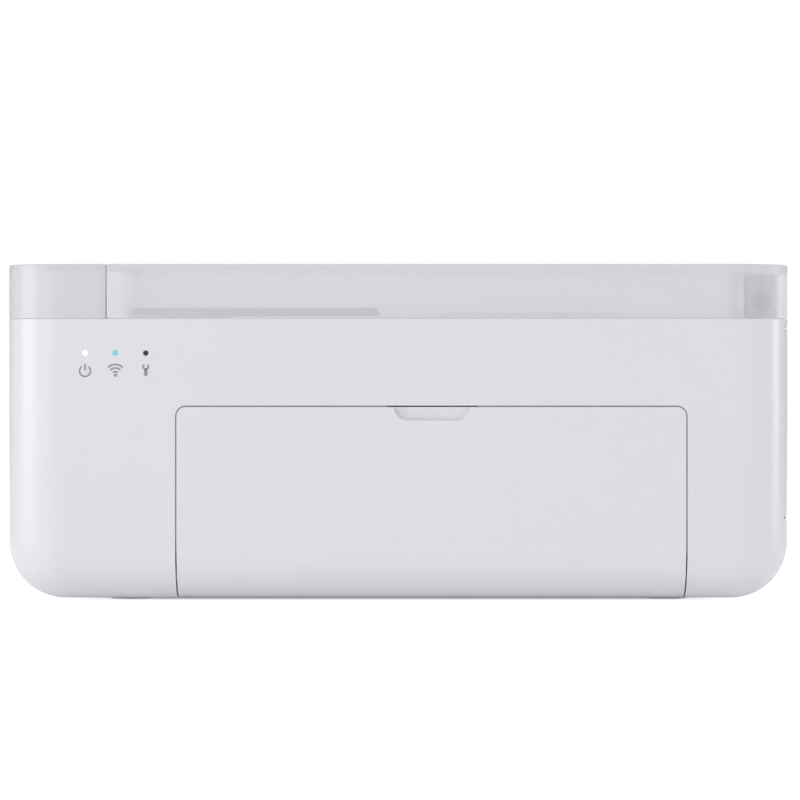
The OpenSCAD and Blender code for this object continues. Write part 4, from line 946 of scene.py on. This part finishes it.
def addDoorRibs():
    # Stiffening ribs inside the front door, as many as its width takes
    low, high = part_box("front_door")
    sunk, pitch = doorRibs["sunk"], doorRibs["pitch"]
    count = int(((high.x - low.x) / mm - doorRibs["ends"]) / pitch) + 1
    size = (doorRibs["thick"], doorRibs["high"] + sunk, doorRibs["top"] - doorRibs["foot"])
    middle = (low.x + high.x) / 2 / mm
    inside = low.y / mm + doorRibs["wall"]
    start = (middle - (count - 1) * pitch / 2, inside + doorRibs["high"] / 2 - sunk / 2, doorRibs["foot"])
    rib = block("rib", size, doorRibs["edge"])
    mesh = growRow("frontDoorRibs", rib, count, start, (pitch, 0, 0), "innerWhite")
    addPiece("frontDoorRibs", mesh, "innerWhite", "front_door")


sideRibs = {"count": 5, "thick": 1.0, "high": 1.2, "pitch": 13.0, "foot": 28.0, "top": 62.0,
            "wall": 2.2, "sunk": 0.2, "edge": 0.2}


def addSideRibs():
    # The same inside the ribbon door
    low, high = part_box("ribbon_door")
    sunk, pitch, count = sideRibs["sunk"], sideRibs["pitch"], sideRibs["count"]
    size = (sideRibs["high"] + sunk, sideRibs["thick"], sideRibs["top"] - sideRibs["foot"])
    middle = (low.y + high.y) / 2 / mm
    inside = high.x / mm - sideRibs["wall"]
    start = (inside - sideRibs["high"] / 2 + sunk / 2, middle - (count - 1) * pitch / 2, sideRibs["foot"])
    rib = block("sideRib", size, sideRibs["edge"])
    mesh = growRow("sideDoorRibs", rib, count, start, (0, pitch, 0), "innerWhite")
    addPiece("sideDoorRibs", mesh, "innerWhite", "ribbon_door")


usbTongue = {"wide": 5.6, "high": 3.2, "out": 1.2, "long": 9.0, "lift": 0.3, "edge": 0.35,
             "pin": 0.9, "pinHigh": 0.18, "pinShort": 1.0, "pinBack": 0.3, "pinEdge": 0.05, "pitch": 1.3}


def addUsbTongue():
    # Tongue in the square socket, two contacts above it and two below
    low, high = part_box("usb_port")
    wide, long, tall = usbTongue["wide"], usbTongue["long"], usbTongue["high"]
    pitch, pinHigh = usbTongue["pitch"], usbTongue["pinHigh"]
    x, y = (low.x + high.x) / 2 / mm, high.y / mm - usbTongue["out"] - long / 2
    z = low.z / mm + (high.z - low.z) / 2 / mm + usbTongue["lift"]
    body = block("usbBody", (wide, long, tall), usbTongue["edge"])
    body.transform(Matrix.Translation((x * mm, y * mm, (z - tall / 2) * mm)))
    addPiece("usbTongue", body, "blackPlastic", "base")
    pin = block("usbPin", (usbTongue["pin"], long - usbTongue["pinShort"], pinHigh), usbTongue["pinEdge"])
    rows = []
    for face in (-1, 1):
        start = (x - pitch, y + usbTongue["pinBack"], z + face * tall / 2 - pinHigh / 2)
        rows.append(growRow("usbPins", pin, 2, start, (2 * pitch, 0, 0), "brass"))
    addPiece("usbContacts", joinMeshes("usbContacts", rows), "brass", "base")


gripRibs = {"count": 6, "pitch": 2.2, "long": 22.0, "wide": 0.9, "high": 0.5,
            "in": 5.0, "sunk": 0.1, "edge": 0.2}


def addGripRibs():
    # Raised ribs for the thumb at the thick end of the cassette's cover
    low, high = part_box("cassette_cover")
    count, pitch, sunk = gripRibs["count"], gripRibs["pitch"], gripRibs["sunk"]
    rib = block("gripRib", (gripRibs["wide"], gripRibs["long"], gripRibs["high"] + sunk), gripRibs["edge"])
    first = high.x / mm - gripRibs["in"] - (count - 1) * pitch
    start = (first, (low.y + high.y) / 2 / mm, high.z / mm - sunk)
    mesh = growRow("cassetteGripRibs", rib, count, start, (pitch, 0, 0), "innerWhite")
    addPiece("cassetteGripRibs", mesh, "innerWhite", "cassette")


addScrews()
addLidLip()
print("screws and lip ready")

addPaper()
addDoorRibs()
addSideRibs()
addUsbTongue()
addGripRibs()
addInsertSign()
print("rows and small pieces ready")


def paintedShadowUnder(tree, shade):
    # Painted shadow: full strength in the open, none on the floor under the object
    spot = splitPlace(tree)
    inset, fade = studio["floorShadowPainted"]
    low, high = cadBox
    under = None
    for axis, start, end in (("X", low[0], high[0]), ("Y", low[1], high[1])):
        up = rise(tree, spot[axis], start / mm + inset, fade)
        past = rise(tree, spot[axis], end / mm - inset, fade)
        here = addNode(tree, "ShaderNodeMath", {"operation": "SUBTRACT"}, i0=up, i1=past).outputs[0]
        under = here if under is None else times(tree, under, here)
    return remap(tree, under, least=shade, most=0.0)


def floorMaterial():
    material = bpy.data.materials.new("floorWhite")
    material.use_nodes = True
    tree = material.node_tree
    shader = tree.nodes["Principled BSDF"]
    tone = studio["floorTone"]
    shader.inputs["Base Color"].default_value = (tone, tone, tone, 1)
    shader.inputs["Roughness"].default_value = studio["floorRough"]
    shader.inputs["Emission Color"].default_value = white
    tree.links.new(paintedShadowUnder(tree, studio["floorBounce"]), shader.inputs["Emission Strength"])
    # The camera sees a stronger glow, plain white with a faint shadow; every other ray meets the weak one.
    # Under the object both fade out, which for the camera is a painted shadow
    seen = addNode(tree, "ShaderNodeEmission", Color=white, Strength=paintedShadowUnder(tree, studio["floorGlow"]))
    both = addNode(tree, "ShaderNodeAddShader", i0=shader.outputs["BSDF"], i1=seen.outputs["Emission"])
    path = addNode(tree, "ShaderNodeLightPath")
    mix = addNode(tree, "ShaderNodeMixShader", Fac=path.outputs["Is Camera Ray"],
                  i1=shader.outputs["BSDF"], i2=both.outputs["Shader"])
    tree.links.new(mix.outputs["Shader"], tree.nodes["Material Output"].inputs["Surface"])
    return material


def addFloor():
    size, level = studio["floorSize"], studio["floorLevel"] * mm
    mesh = bpy.data.meshes.new("floor")
    mesh.from_pydata([(-size, -size, level), (size, -size, level), (size, size, level), (-size, size, level)],
                     [], [(0, 1, 2, 3)])
    mesh.materials.append(floorMaterial())
    addObject("floor", mesh)


addFloor()
print("floor ready")
